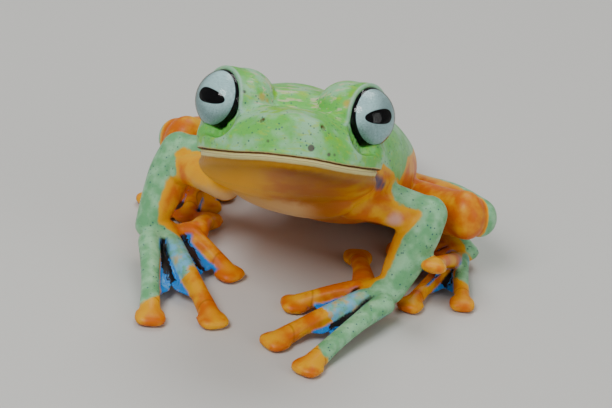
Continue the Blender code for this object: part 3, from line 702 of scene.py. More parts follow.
def line_distance(points, line):
    """Distance from each point to a line of places, and the share of the way along it."""
    line = np.asarray(line, float)
    best = np.full(len(points), np.inf)
    share = np.zeros(len(points))
    for index in range(len(line) - 1):
        span = line[index + 1] - line[index]
        t = np.clip((points - line[index]) @ span / (span @ span), 0.0, 1.0)
        distance = np.linalg.norm(points - line[index] - t[:, None] * span, axis=1)
        nearer = distance < best
        best = np.where(nearer, distance, best)
        share = np.where(nearer, (index + t) / (len(line) - 1), share)
    return best, share


def open_lids(local):
    """Pushes the skin inside the lids' opening below the eyeball, and rolls the lids' edges."""
    for mirror in (1.0, -1.0):
        angle, reach, height = lid_angle(local, mirror)
        centre = np.array([mirror * EYE_SIDE, 0.0, EYE_LEVEL])
        opened = 1.0 - rise(angle, LID_OPENING - 3.0, LID_OPENING + 1.5)
        low = rise(-height / reach, 0.35, 0.6)
        near = 1.0 - rise(reach, EYE_RADIUS + 0.9 - 0.35 * low, EYE_RADIUS + 1.9 - 0.95 * low)
        roll = 0.05 * bell(angle - LID_OPENING - 3.0, 2.5)
        fold = -0.1 * bell(angle - LID_OPENING - 11.0, 2.5) * (1.0 - rise(height, -1.0, 1.0))
        target = reach + roll + fold
        target = target * (1.0 - opened) + np.minimum(reach, INSIDE_BALL) * opened
        target = reach + (target - reach) * near
        local = centre + (local - centre) * (target / reach)[:, None]
    return local


def from_nearer_eye(local):
    """Way and distance from the middle of the nearer eye, both eyes laid on the left one."""
    away = np.stack([np.abs(local[:, 0]) - EYE_SIDE, local[:, 1], local[:, 2] - EYE_LEVEL], axis=-1)
    return away, np.linalg.norm(away, axis=1)


def clear_view(local):
    """Lowers whatever still stands in front of the lower edge of each eyeball."""
    _, reach = from_nearer_eye(local)
    share = rise(reach, EYE_RADIUS - 0.12, EYE_RADIUS) * rise(-local[:, 1], 0.5, 1.2)
    share *= 1.0 - rise(local[:, 2], -1.4, -0.6)
    return below_the_eye(local, share)


def smooth_cheek(local, faces):
    """Clears the view of each ball and relaxes the skin under it, by turns."""
    away, reach = from_nearer_eye(local)
    under = rise(-away[:, 2] / reach, 0.3, 0.5) * rise(-away[:, 1], 0.0, 0.8)
    under *= 1.0 - rise(np.abs(reach - EYE_RADIUS - 0.3), 0.8, 1.6)
    for _ in range(4):
        local = relax(clear_view(local), faces, 12, under, (0.5,))
    return local


def mouth_level(x):
    """Height of the lip line: a shallow arch that dips beside the snout."""
    return MOUTH_LEVEL + 0.05 - 0.24 * rise(x, 2.0, 6.5) + 0.12 * rise(x, 8.0, 10.0)


def face_height(local):
    """How far the skin of the face stands out, in millimetres: a sum of bells and hollows."""
    x, y, z = np.abs(local[:, 0]), local[:, 1], local[:, 2]
    mirrored = np.stack([x, y, z], axis=-1)
    above = z - mouth_level(x)
    lips = (0.12 * bell(above - 0.28, 0.2) - 0.3 * bell(above, 0.1)
            + 0.16 * bell(above + 0.36, 0.26) - 0.2 * bell(above + 0.95, 0.3))
    height = lips * (1.0 - rise(y, 1.5, 3.0))
    ridge, _ = line_distance(mirrored, SNOUT_RIDGE)
    height += 0.22 * bell(ridge, 0.8)
    height -= 0.22 * bell(np.linalg.norm(mirrored - SNOUT_HOLLOW, axis=1), 1.7)
    nostril = np.linalg.norm(mirrored - NOSTRIL, axis=1)
    height += 0.22 * bell(nostril, 0.75) - 0.75 * bell(nostril, 0.3)
    drum = np.linalg.norm(mirrored - EARDRUM, axis=1)
    height += 0.12 * bell(drum - EARDRUM_RADIUS, 0.25) - 0.08 * bell(drum, 1.0)
    mouth_corner = rise(x, 7.6, 9.2) * bell(z + 4.5, 1.9) * bell(y - 1.0, 3.4)
    fold, _ = line_distance(mirrored, EAR_FOLD)
    return height + 0.4 * mouth_corner + 0.3 * bell(fold, 0.5)


def shape_face(points, faces):
    """The skin with the bumps and hollows of the face put on, and its lids opened."""
    local = head_local(points)
    near = (local[:, 1] < 9.0) & (local[:, 2] > -11.0) & (np.abs(local[:, 0]) < 13.0)
    normal = vertex_normals(points, faces) @ HEAD_TURN
    moved = smooth_cheek(open_lids(local + normal * face_height(local)[:, None]), faces)
    return head_point(np.where(near[:, None], moved, local))


skin_points = shape_face(skin_points, skin_faces)
skin_points[:, 2] = np.maximum(skin_points[:, 2], 0.02)
print("lowest skin, mm above the floor:", round(float(skin_points[:, 2].min()), 3))

# %% [markdown]
# The face needs the fine net, but a smooth back doesn't. A coarser pour would lose the digits,
# so the net is poured fine and then thinned, mostly away from the face.

# %% Thin the net away from the face
SKIN_TRIANGLES = 185000
FACE_DEPTH = 6.0
THROAT_DEPTH = -11.0
FACE_THINNING = 0.12


def thin(points, faces, limit):
    """Collapses short edges, fewer of them on the face, until the net is down to the limit."""
    if len(faces) <= limit:
        return points, faces
    work = make_object("work", points, faces.tolist())
    group = work.vertex_groups.new(name="plain")
    local = head_local(points)
    plain = (local[:, 1] > FACE_DEPTH) | (local[:, 2] < THROAT_DEPTH)
    group.add(np.nonzero(plain)[0].tolist(), 1.0, "REPLACE")
    group.add(np.nonzero(~plain)[0].tolist(), FACE_THINNING, "REPLACE")
    decimate = work.modifiers.new("thin", "DECIMATE")
    decimate.ratio = limit / len(faces)
    decimate.vertex_group = group.name
    return evaluated(work)


skin_points, skin_faces = thin(skin_points, skin_faces, SKIN_TRIANGLES)
print("skin:", len(skin_points), "vertices,", len(skin_faces), "triangles")
skin = make_object("frog_skin", to_world(skin_points), skin_faces.tolist())

# %% [markdown]
# A flying frog is green where it is seen from above and orange where it folds its limbs away.
# The borders could be painted by hand. Here, for each vertex, we find which limb it is on and
# how far it lies to that limb's green side, in millimetres. The colour then changes where that
# distance passes zero, and a little noise added in the material makes the border natural.

# %% The green side of each piece
GREEN_SIDE = {
    "left": {
        "upper_arm": ((0.0, 0.0, 1.0), (1.6, 1.5, 0.7, 0.45, 0.4, 0.1)),
        "forearm": ((0.85, -0.45, 0.25), (0.35, 0.1, -0.1, -0.12, -0.13, -0.13)),
        "palm": ((0.75, -0.5, 0.4), (0.0, 0.25)), "thigh": ((0.0, 0.0, 1.0), (2.0, 2.0)),
        "shin": ((1.0, 0.0, 0.15), (-0.1, 0.2)), "tarsus": ((0.8, 0.0, 0.6), (0.0, 0.0)),
        "sole": ((0.8, 0.0, 0.6), (0.2, 0.4)),
    },
    "right": {
        "upper_arm": ((0.0, 0.0, 1.0), (0.9, 0.6, 0.5, 0.5, 0.55, 0.5)),
        "forearm": ((0.85, -0.45, 0.25), (0.3, 0.35, 0.4, 0.43, 0.25, 0.0)),
        "palm": ((0.75, -0.5, 0.4), (0.1, 0.4)), "thigh": ((0.0, 0.0, 1.0), (2.0, 2.0)),
        "shin": ((1.0, 0.0, 0.0), (0.7, 0.3)), "tarsus": ((0.8, 0.0, 0.6), (0.0, 0.0)),
        "sole": ((0.8, 0.0, 0.6), (0.2, 0.4)),
    },
}
GREEN_END = {"finger": (0.0, 0.0, 0.4, 0.82), "toe": (0.0, 0.0, 0.0, 0.0, 0.6)}
BLUE_FINGER = 2
TRUNK_BORDER = ((0.0, 19.5), (3.0, 18.8), (9.0, 13.6), (12.5, 15.0), (36.0, 7.0))
HEAD_OVAL = (10.6, 9.6, 6.6, -2.6)


def limb_fields(points, side):
    """Distance to each piece's surface, how far to its green side, and the blue finger's share."""
    mirror = np.array([MIRROR[side], 1.0, 1.0])
    surface, green, pale = [], [], np.zeros(len(points))
    for name, rows in limb_tubes(side).items():
        rows = np.asarray(rows)
        distance, share = line_distance(points, rows[:, :3])
        radius = np.interp(share, np.linspace(0.0, 1.0, len(rows)), rows[:, 3])
        direction, offsets = GREEN_SIDE[side][name]
        offset = np.interp(share, np.linspace(0.0, 1.0, len(offsets)), offsets) * radius
        nearest = along_line(rows[:, :3], share)
        surface.append(distance - radius)
        green.append((points - nearest) @ (unit(direction) * mirror) - offset)
    fingers, toes = digit_lines(side)
    for kind, lines, radius in (("finger", fingers, FINGER_RADIUS), ("toe", toes, TOE_RADIUS)):
        for number, (line, end) in enumerate(zip(lines, GREEN_END[kind])):
            distance, share = line_distance(points, line)
            length = np.linalg.norm(line[-1] - line[0])
            surface.append(distance - radius)
            across = (points - along_line(line, share)) @ (unit([0.7, 0.0, 0.7]) * mirror)
            past = (end - share) * length * 0.6 + 0.6 * across
            green.append(np.minimum(past, across + 0.7) if end > 0 else across * 0 - 1.5)
            if kind == "finger" and number == BLUE_FINGER:
                pale = (1.0 - rise(distance - radius, 0.0, 0.6)) * rise(share, 0.0, 0.15)
    return surface, green, pale


def trunk_fields(points):
    """The same two for the trunk, and for the head, whose green ends at the mouth."""
    rows = np.asarray(TRUNK)
    _, share = line_distance(points, rows[:, :3])
    knots = np.linspace(0.0, 1.0, len(rows))
    nearest = along_line(rows[:, :3], share)
    width, height = np.interp(share, knots, rows[:, 3]), np.interp(share, knots, rows[:, 4])
    away = points - nearest
    ratio = np.sqrt((np.hypot(away[:, 0], away[:, 1]) / width) ** 2 + (away[:, 2] / height) ** 2)
    surface = [(ratio - 1.0) * height]
    green = [points[:, 2] - np.interp(points[:, 1], *zip(*TRUNK_BORDER))]
    local = head_local(points)
    half_width, half_length, half_height, middle = HEAD_OVAL
    ratio = np.sqrt((local[:, 0] / half_width) ** 2 + (local[:, 1] / half_length) ** 2
                    + ((local[:, 2] - middle) / half_height) ** 2)
    surface.append((ratio - 1.0) * half_height - 0.6)
    green.append(local[:, 2] - mouth_level(np.abs(local[:, 0])) + 0.6)
    return surface, green


print("pieces with a green side:", sum(len(sides) for sides in GREEN_SIDE.values()))

# %% [markdown]
# The pads, the webs and the marks on the face have colours of their own. Each could be given a
# material of its own, but then its border would follow the edges of the net. Instead each gets
# a number at every vertex that says how near that vertex is to it, so the material can draw it
# with a soft or a sharp edge.

# %% Numbers for pads, webs and marks
FACE_SPOTS = [
    (2.25, -9.17, -4.11, 0.36), (-2.35, -9.14, -3.93, 0.16), (4.1, -8.15, -4.55, 0.3),
    (4.7, -7.8, -4.5, 0.25), (-5.58, -3.42, 1.25, 0.25),
]
TAN_SPOTS = [(-3.7, -2.44, 0.87, 0.45), (5.51, -3.28, 1.32, 0.45), (-3.1, -2.0, 0.6, 0.25)]
ARMPIT_SPOTS = [(9.8, 6.0, -6.5, 0.5), (10.3, 6.9, -6.75, 0.55), (10.9, 8.0, -6.95, 0.35)]
ELBOW_SPOTS = [(12.6, 3.2, 11.4, 0.5)]


def spots(places, spheres):
    """Above 0 inside any of the round spots, given as middle and radius."""
    spheres = np.asarray(spheres, float)
    gap = np.linalg.norm(places[:, None] - spheres[None, :, :3], axis=2) - spheres[:, 3]
    return -gap.min(axis=1)


def pad_field(points):
    """1 at the middle of a digit's pad, 0 at its edge and below 0 beyond it."""
    best = np.full(len(points), -2.0)
    for side in SIDES:
        fingers, toes = digit_lines(side)
        for lines, radius in ((fingers, FINGER_DISC), (toes, TOE_DISC)):
            for line in lines:
                level = unit((line[-1] - line[-2]) * [1.0, 1.0, 0.0])
                away = (points - line[-1] - level * PAD_AHEAD) * [1.0, 1.0, 0.5]
                best = np.maximum(best, 1.0 - np.linalg.norm(away, axis=1) / radius)
    return best


def web_place(points, sheets):
    """Distance to the nearest web's middle sheet, the shares across and along it, and its number."""
    best, across, along, number = (np.full(len(points), start) for start in (9.0, 0.0, 0.0, 0.0))
    near = np.nonzero(points[:, 2] < 9.0)[0]
    for index, sheet in enumerate(sheets):
        low, high = sheet.min(axis=0) - 1.5, sheet.max(axis=0) + 1.5
        here = near[np.all((points[near] > low) & (points[near] < high), axis=1)]
        gaps = np.linalg.norm(points[here, None] - sheet[None], axis=2)
        sample = gaps.argmin(axis=1)
        gap = gaps[np.arange(len(here)), sample]
        closer = gap < best[here]
        best[here[closer]] = gap[closer]
        across[here[closer]] = (sample[closer] % WEB_COLUMNS) / (WEB_COLUMNS - 1.0)
        along[here[closer]] = (sample[closer] // WEB_COLUMNS) / (len(sheet) / WEB_COLUMNS - 1.0)
        number[here[closer]] = index * 3.7
    return best, across, along, number


def lid_field(local):
    """1 along the edges of the lids, falling to 0 away from them."""
    found = np.zeros(len(local))
    for mirror in (1.0, -1.0):
        angle, reach, _ = lid_angle(local, mirror)
        found = np.maximum(found, bell(angle - LID_OPENING - 1.5, 3.0) * (1.0 - rise(reach, 4.3, 5.2)))
    return found


def colour_fields(points, sheets):
    """Named numbers at each vertex that the skin's material turns into colours."""
    surface, green = trunk_fields(points)
    digits, pale = [], np.zeros(len(points))
    long_pieces = len(limb_tubes("left"))
    for side in SIDES:
        more, fields, bluish = limb_fields(points, side)
        pale = np.maximum(pale, bluish)
        surface += more
        green += fields
        digits += more[long_pieces:]
    surface, green = np.array(surface), np.array(green)
    weight = np.exp(-(surface - surface.min(axis=0)) / 0.3)
    local = head_local(points)
    x, y, z = local.T
    on_head = rise(-surface[1] + np.delete(surface, 1, axis=0).min(axis=0), -0.6, 0.6)
    arms = 1.0 - rise(surface[2:].min(axis=0) - surface[:2].min(axis=0), -0.3, 0.6)
    web_gap, across, along, number = web_place(points, sheets)
    clear_of_digits = np.array(digits).min(axis=0)
    at_mouth = (1.0 - rise(y, 2.2, 3.2)) * rise(on_head, 0.2, 0.8)
    return {
        "green": (weight * green).sum(axis=0) / weight.sum(axis=0),
        "head": np.maximum(on_head, (1.0 - arms) * (1.0 - rise(y, 4.0, 26.0))),
        "blue": rise(clear_of_digits, -0.05, 0.08) * (1.0 - rise(web_gap, 1.0, 1.3)),
        "web_across": across,
        "web_along": along,
        "web": number,
        "lid": lid_field(local),
        "mouth": (z - mouth_level(np.abs(x))) + 60.0 * (1.0 - at_mouth),
        "nostril": np.linalg.norm(np.abs(local) - np.abs(NOSTRIL), axis=1),
        "crown": on_head * rise(z, -1.6, 0.6) * (1.0 - rise(np.abs(x), 4.5, 7.0)),
        "spot": spots(local, FACE_SPOTS),
        "armpit": spots(local, ARMPIT_SPOTS),
        "pink": spots(points, ELBOW_SPOTS),
        "tan": spots(local, TAN_SPOTS),
        "pad": pad_field(points),
        "pale": pale,
        "front": (1.0 - rise(points[:, 1], 4.0, 12.0)) * rise(points[:, 2], 5.0, 8.0) * (1.0 - arms),
        "throat": x,
        "under": -z + 0.12 * y,
    }


def store(target, fields):
    """Writes each field as a named number at every vertex."""
    for name, values in fields.items():
        layer = target.data.attributes.new(name, "FLOAT", "POINT")
        layer.data.foreach_set("value", np.asarray(values, np.float32))


fields = colour_fields(skin_points, web_sheets)
store(skin, fields)
print("share of green skin:", round(float((fields["green"] > 0).mean()), 2))

# %% [markdown]
# The eye of this frog is a silvery ball with a black rim and a level black pupil. A plain ball
# with a painted pupil would look flat. The ball is made with its pole on the middle of the
# iris, the pupil is a real hollow in it, and a thin clear skin lies over the whole.

# %% Eyes
IRIS_TURN = np.radians(47.5)
PUPIL_AIM = (1.95, -2.96, 0.22)
PUPIL_LONG = (2.82, 2.1, 0.66)
PUPIL_HALF_LENGTH = 31.0
PUPIL_HALF_HEIGHT = 13.5
PUPIL_DEPTH = 0.12
BALL_RADIUS = EYE_RADIUS - 0.1


def pupil_field(direction, mirror):
    """Below 0 inside the pupil: an egg-shaped outline, narrow at the nose end."""
    aim = unit(np.array(PUPIL_AIM) * [mirror, 1.0, 1.0])
    along = np.array(PUPIL_LONG) * [mirror, 1.0, 1.0]
    along = unit(along - aim * (along @ aim))
    above = np.cross(aim, along)
    forward = direction @ aim
    s = np.degrees(np.arctan2(direction @ along, forward)) / PUPIL_HALF_LENGTH
    h = np.degrees(np.arctan2(direction @ above, forward)) / PUPIL_HALF_HEIGHT
    return (np.abs(s) ** 3.0 + np.abs(h / (1.0 + 0.2 * s)) ** 2.2) ** 0.5 - 1.0


def make_eye(side):
    """Ball with a hollow pupil, and its clear skin.

    Stored numbers say how far each vertex of the ball is from the pupil and from the iris's middle.
    """
    mirror = MIRROR[side]
    axis = unit([mirror * np.sin(IRIS_TURN), -np.cos(IRIS_TURN), 0.1])
    side_way = unit(np.cross(axis, [0.0, 0.0, 1.0]))
    turn = np.stack([side_way, np.cross(side_way, axis), -axis], axis=-1)
    shape, faces = ellipsoid((0.0, 0.0, 0.0), (1.0, 1.0, 1.0), turn, 200)
    pupil = pupil_field(shape, mirror)
    angle = np.degrees(np.arccos(np.clip(shape @ axis, -1.0, 1.0)))
    radius = BALL_RADIUS - PUPIL_DEPTH * (1.0 - rise(pupil, -0.25, 0.0))
    centre = np.array([mirror * EYE_SIDE, 0.0, EYE_LEVEL])
    ball = make_object("eyeball_" + side, to_world(head_point(centre + shape * radius[:, None])), faces)
    store(ball, {"pupil": pupil, "angle": angle,
                 "around": np.degrees(np.arctan2(shape @ turn[:, 1], shape @ turn[:, 0])),
                 "height": shape[:, 2]})
    outside, shell = ellipsoid((0.0, 0.0, 0.0), (1.0, 1.0, 1.0), turn, 96)
    points = to_world(head_point(centre + outside * EYE_RADIUS))
    return ball, make_object("cornea_" + side, points, shell)


eyes = {side: make_eye(side) for side in SIDES}
print("each eye is", 2.0 * EYE_RADIUS, "mm across")

# %% [markdown]
# Materials are small machines of nodes. They could be wired by hand in the editor. A helper
# adds a node and sets its inputs in one line, which reads like the recipe that it is. The
# sizes in the skin's textures are in millimetres, because its coordinates are turned into
# millimetres first.

# %% Helpers for materials


class Maker:
    """Adds nodes to one material and links them."""

    def __init__(self, tree):
        self.tree = tree

    def add(self, kind, inputs=(), **settings):
        """A node of this kind; inputs are (name or number, value or socket) pairs."""
        made = self.tree.nodes.new(kind)
        for name, value in settings.items():
            setattr(made, name, value)
        for name, value in inputs:
            if isinstance(value, bpy.types.NodeSocket):
                self.tree.links.new(value, made.inputs[name])
            else:
                made.inputs[name].default_value = value
        return made

    def field(self, name):
        """The number stored under this name at each vertex."""
        return self.add("ShaderNodeAttribute", attribute_name=name).outputs["Fac"]

    def math(self, operation, *values):
        """One sum of numbers or sockets."""
        return self.add("ShaderNodeMath", list(enumerate(values)), operation=operation).outputs[0]

    def times(self, first, second):
        """Product of two numbers or sockets."""
        return self.math("MULTIPLY", first, second)

    def plus(self, first, second):
        """Sum of two numbers or sockets."""
        return self.math("ADD", first, second)

    def gap(self, value, middle):
        """How far a number is from the middle, whichever side it is on."""
        return self.math("ABSOLUTE", self.math("SUBTRACT", value, middle))

    def step(self, value, start, end, low=0.0, high=1.0):
        """Smooth step of a number from start to end, giving low to high."""
        inputs = [("Value", value), ("From Min", start), ("From Max", end), ("To Min", low), ("To Max", high)]
        return self.add("ShaderNodeMapRange", inputs, interpolation_type="SMOOTHSTEP").outputs["Result"]

    def mix(self, share, first, second, way="MIX"):
        """Mix of two colours: this share of the second."""
        inputs = [(0, share), (6, first), (7, second)]
        return self.add("ShaderNodeMix", inputs, data_type="RGBA", blend_type=way).outputs[2]

    def place(self, *numbers):
        """A place made of up to three numbers or sockets."""
        return self.add("ShaderNodeCombineXYZ", list(enumerate(numbers))).outputs[0]

    def noise(self, place, size, detail=3.0, rough=0.5, distortion=0.0):
        """Soft noise whose lumps are about this size across, in the units of the place."""
        inputs = [("Vector", place), ("Scale", 1.0 / size), ("Detail", detail), ("Roughness", rough),
                  ("Distortion", distortion)]
        return self.add("ShaderNodeTexNoise", inputs).outputs["Fac"]

    def dots(self, place, spacing, edge, centre):
        """Scattered dots, one to a cell of this size; they fade from the centre to the edge."""
        inputs = [("Vector", place), ("Scale", 1.0 / spacing), ("Randomness", 1.0)]
        cells = self.add("ShaderNodeTexVoronoi", inputs)
        return self.step(cells.outputs["Distance"], edge, centre)


def millimetres(maker, stretch=(1.0, 1.0, 1.0)):
    """Object coordinates in millimetres, stretched along each axis."""
    place = maker.add("ShaderNodeTexCoord").outputs["Object"]
    scale = tuple(share / MM for share in stretch)
    return maker.add("ShaderNodeVectorMath", [(0, place), (1, scale)], operation="MULTIPLY").outputs[0]


def colour(red, green, blue):
    """Colour from the 0 to 255 values that a picture shows."""
    values = np.array([red, green, blue]) / 255.0
    linear = np.where(values <= 0.04045, values / 12.92, ((values + 0.055) / 1.055) ** 2.4)
    return (*linear.tolist(), 1.0)


def new_material(name):
    """An empty material and its maker of nodes."""
    made = bpy.data.materials.new(name)
    made.use_nodes = True
    made.node_tree.nodes.clear()
    return made, Maker(made.node_tree)


def finish_material(made, maker, surface):
    """The material, with this surface linked to its output."""
    maker.add("ShaderNodeOutputMaterial", [(0, surface)])
    print("material", made.name, "has", len(made.node_tree.nodes), "nodes")
    return made


# %% [markdown]
# The green of this frog is never even: it is leaf green on the head, with yellow and cream
# streaks on the crown, mint on the limbs, and everywhere it has fine blue-black dots. A painted
# picture would do, but noise of the right size can be seen from any distance and any side.

# %% Green skin
HEAD_GREEN = colour(106, 192, 84)
PALE_GREEN = colour(150, 205, 160)
YELLOW_GREEN = colour(130, 195, 45)
MINT = colour(105, 172, 118)
CROWN_CREAM = colour(205, 198, 165)
LIME = colour(165, 200, 60)
DOT_BLUE = colour(40, 75, 100)


def green_colour(maker, place):
    """Mint limbs, a leaf-green head with yellow and pale patches, and fine dots."""
    head = maker.field("head")
    tone = maker.mix(maker.step(maker.noise(place, 3.5, 4.0), 0.42, 0.62), HEAD_GREEN, PALE_GREEN)
    tone = maker.mix(maker.step(maker.noise(place, 2.2, 3.0), 0.55, 0.72), tone, YELLOW_GREEN)
    limb = maker.mix(maker.step(maker.noise(place, 1.6, 4.0), 0.35, 0.7), MINT, PALE_GREEN)
    tone = maker.mix(head, limb, tone)
    streaks = maker.step(maker.noise(millimetres(maker, (0.3, 1.0, 1.0)), 0.55, 3.0), 0.55, 0.64)
    streaks = maker.times(streaks, maker.field("crown"))
    tone = maker.mix(maker.times(streaks, 0.75), tone, CROWN_CREAM)
    lines = maker.step(maker.noise(millimetres(maker, (0.25, 1.0, 1.2)), 0.45, 2.0), 0.58, 0.66)
    tone = maker.mix(maker.times(lines, maker.times(head, 0.5)), tone, LIME)
    few = maker.step(maker.noise(place, 1.8, 1.0), 0.38, 0.52)
    coarse_dots = maker.times(maker.dots(place, 1.0 / 1.7, 0.22, 0.15), few)
    sparse = maker.step(maker.noise(place, 1.1, 1.0), 0.5, 0.6, 0.0, 0.7)
    fine_dots = maker.times(maker.dots(place, 1.0 / 3.1, 0.2, 0.12), sparse)
    dots = maker.math("MAXIMUM", coarse_dots, fine_dots)
    return maker.mix(maker.times(dots, 0.75), tone, DOT_BLUE)


print("leaf green as the shader sees it:", np.round(HEAD_GREEN[:3], 3).tolist())

# %% [markdown]
# The hidden sides are orange and yellow. The throat is golden on one side and painted a darker
# brown where it lies in the jaw's shade, the chest is peach, and the pads have a yellow middle
# with a painted shade of a crease behind them. One even orange would be quicker, but it would
# look like plastic, so each of these is mixed in where a stored number marks its place.

# %% Orange skin
ORANGE = colour(208, 104, 0)
YELLOW = colour(232, 165, 0)
PEACH = colour(205, 160, 105)
# Painted shade colour, for the throat under the jaw and the crease behind each pad.
PAINTED_SHADE_BROWN = colour(150, 82, 0)


def warm_colour(maker, place, green):
    """Orange with yellow clouds, yellow beside the green, throat and pad colours, and painted shade."""
    front, throat, pad = maker.field("front"), maker.field("throat"), maker.field("pad")
    tone = maker.mix(maker.step(maker.noise(place, 2.6, 3.0), 0.4, 0.65), ORANGE, YELLOW)
    golden = maker.times(maker.step(throat, 1.0, -4.0, 0.0, 0.9), front)
    tone = maker.mix(golden, tone, YELLOW)
    # Painted shade: the throat is darkened to brown where the jaw shades it from the light above.
    painted_throat_shade = maker.times(maker.step(maker.gap(throat, 3.0), 8.0, 1.0, 0.0, 0.85), front)
    tone = maker.mix(painted_throat_shade, tone, PAINTED_SHADE_BROWN)
    tone = maker.mix(maker.step(green, -1.1, -0.15), tone, YELLOW)
    tone = maker.mix(maker.step(pad, 0.15, 0.7, 0.0, 0.6), tone, YELLOW)
    # Painted shade of a groove: a brown ring just behind the edge of each pad.
    tone = maker.mix(maker.step(maker.gap(pad, -0.2), 0.12, 0.0, 0.0, 0.5), tone, PAINTED_SHADE_BROWN)
    depth = maker.plus(maker.field("under"), maker.times(maker.noise(place, 1.5), 1.5))
    chest = maker.times(maker.step(depth, 10.6, 11.8, 0.0, 0.9), front)
    chest = maker.times(chest, maker.step(throat, 5.0, 1.0))
    return maker.mix(chest, tone, PEACH)


print("orange as the shader sees it:", np.round(ORANGE[:3], 3).tolist())

# %% [markdown]
# The webs are bright blue with black blotches that run from the palm to the free edge. Noise
# on plain coordinates would lay them all one way. Here it follows the shares across and along
# each web, so that the streaks fan out with the digits.

# %% Blue webs and the blue finger
WEB_BLUE = colour(20, 125, 215)
WEB_PALE = colour(120, 195, 235)
DARK = colour(4, 5, 10)
STREAKS_ACROSS = 9.0
STREAKS_ALONG = 1.6


def web_colour(maker):
    """Blue with pale streaks beside the digits and black blotches in the middle."""
    across, along = maker.field("web_across"), maker.field("web_along")
    sheet = maker.place(maker.times(across, STREAKS_ACROSS), maker.times(along, STREAKS_ALONG),
                        maker.field("web"))
    streak = maker.noise(sheet, 1.0, 4.0, 0.6)
    from_middle = maker.times(maker.gap(across, 0.5), 1.3)
    blotch = maker.step(maker.math("SUBTRACT", streak, from_middle), 0.3, 0.38)
    blue = maker.mix(maker.step(streak, 0.42, 0.3), WEB_BLUE, WEB_PALE)
    return maker.mix(blotch, blue, DARK)


def blue_finger(maker, place, green):
    """The given green with pale blue and yellow patches on the third finger."""
    pale = maker.field("pale")
    patchy = maker.step(maker.noise(place, 1.1, 3.0), 0.36, 0.6, 0.2, 0.9)
    tone = maker.mix(maker.times(pale, patchy), green, WEB_PALE)
    amber = maker.step(maker.noise(place, 1.6, 2.0), 0.5, 0.66, 0.0, 0.6)
    return maker.mix(maker.times(pale, amber), tone, YELLOW)


print("streaks across a web:", STREAKS_ACROSS)

# %% [markdown]
# The lips are a cream band with a thin brown line between them and a fine crease below, and
# a shadow under the lower lip is painted on the throat. The marks are single spots that make
# this frog itself. They could be small pieces laid on the skin, but their rims would show. So
# all of them are drawn from the stored numbers, each with its own soft edge.

# %% Lips and marks
CREAM = colour(212, 202, 138)
PAINTED_LIP_SHADOW = colour(80, 45, 0)
MOUTH_BROWN = colour(95, 55, 25)
LID_PALE = colour(170, 205, 200)
TAN = colour(200, 165, 60)
SPOT_BROWN = colour(85, 60, 70)
DEEP_BLUE = colour(30, 50, 110)
PINK = colour(222, 165, 165)
MARKS = [("tan", -0.25, 0.25, 0.7, TAN), ("spot", -0.1, 0.06, 0.85, SPOT_BROWN),
         ("armpit", -0.7, 0.2, 0.85, DEEP_BLUE), ("pink", -0.9, 0.2, 0.75, PINK)]


def add_lips(maker, tone, rough_edge):
    """The colour with a painted shadow below the lips, the cream lips and their brown lines put on."""
    mouth = maker.plus(maker.field("mouth"), maker.times(rough_edge, 0.12))
    # Painted shadow: a dark brown band on the throat under the lower lip.
    shade = maker.times(maker.step(mouth, -3.2, -0.9, 0.0, 0.6), maker.step(mouth, -0.6, -0.8))
    tone = maker.mix(shade, tone, PAINTED_LIP_SHADOW)
    lip = maker.times(maker.step(mouth, -0.82, -0.66), maker.step(mouth, 0.24, 0.1))
    tone = maker.mix(lip, tone, CREAM)
    tone = maker.mix(maker.step(maker.gap(mouth, -0.36), 0.07, 0.02, 0.0, 0.45), tone, MOUTH_BROWN)
    line = maker.times(maker.step(mouth, -0.17, -0.05), maker.step(mouth, 0.14, 0.03))
    return maker.mix(line, tone, MOUTH_BROWN)


def add_marks(maker, tone):
    """The colour with each mark mixed in: its field, where it starts and is full, and its share."""
    for field, start, full, share, mark in MARKS:
        tone = maker.mix(maker.step(maker.field(field), start, full, 0.0, share), tone, mark)
    tone = maker.mix(maker.times(maker.field("lid"), 0.6), tone, LID_PALE)
    return maker.mix(maker.step(maker.field("nostril"), 0.42, 0.25), tone, MOUTH_BROWN)


print("kinds of marks:", [mark[0] for mark in MARKS])

# %% [markdown]
# The skin is damp and a little see-through: light goes a short way in, and a soft sheen lies on
# top. Each limb could have its own material, but one over the whole skin leaves no seam. The
# grain of the skin is too fine for the net, so it is a bump in the material.

# %% Skin material
BORDER_NOISE = 0.6
FINGER_NOISE = 2.2
GRAIN_SIZE = 0.16
GRAIN_DEPTH = 0.00012


def skin_material():
    """Damp skin whose colours follow the stored fields."""
    made, maker = new_material("frog_skin")
    place = millimetres(maker)
    rough_edge = maker.math("SUBTRACT", maker.noise(place, 0.9, 4.0), 0.5)
    green = maker.plus(maker.field("green"), maker.times(rough_edge, BORDER_NOISE))
    patches = maker.times(maker.math("SUBTRACT", maker.noise(place, 1.5, 3.0), 0.5), FINGER_NOISE)
    green = maker.plus(green, maker.times(patches, maker.field("pale")))
    fresh = blue_finger(maker, place, green_colour(maker, place))
    tone = maker.mix(maker.step(green, -0.12, 0.18), warm_colour(maker, place, green), fresh)
    tone = maker.mix(maker.field("blue"), tone, web_colour(maker))
    tone = add_marks(maker, add_lips(maker, tone, rough_edge))
    bump = maker.add("ShaderNodeBump", [("Height", maker.noise(place, GRAIN_SIZE, 2.0)),
                                        ("Strength", 0.25), ("Distance", GRAIN_DEPTH)])
    surface = maker.add("ShaderNodeBsdfPrincipled", [
        ("Base Color", tone), ("Roughness", 0.42), ("Specular IOR Level", 0.22),
        ("Subsurface Weight", 0.15), ("Subsurface Radius", (1.0, 0.5, 0.25)),
        ("Subsurface Scale", 0.0006), ("Coat Weight", 0.06), ("Coat Roughness", 0.25),
        ("Normal", bump.outputs[0])])
    return finish_material(made, maker, surface.outputs[0])


# %% [markdown]
# The iris is silvery with fine streaks and thin veins that run out from the pupil, and it ends
# in a black rim. The streaks could be real grooves, but they are finer than a hair, so noise
# draws them. The stored angles round the iris and away from its middle take the place of
# coordinates, so they stay radial. The clear skin only adds the glints of the lamps.

# %% Eye materials
IRIS_SILVER = colour(224, 252, 255)
IRIS_DEEP = colour(150, 194, 194)
RIM_ANGLES = (60.8, 62.2)
CORNEA_IOR = 1.38


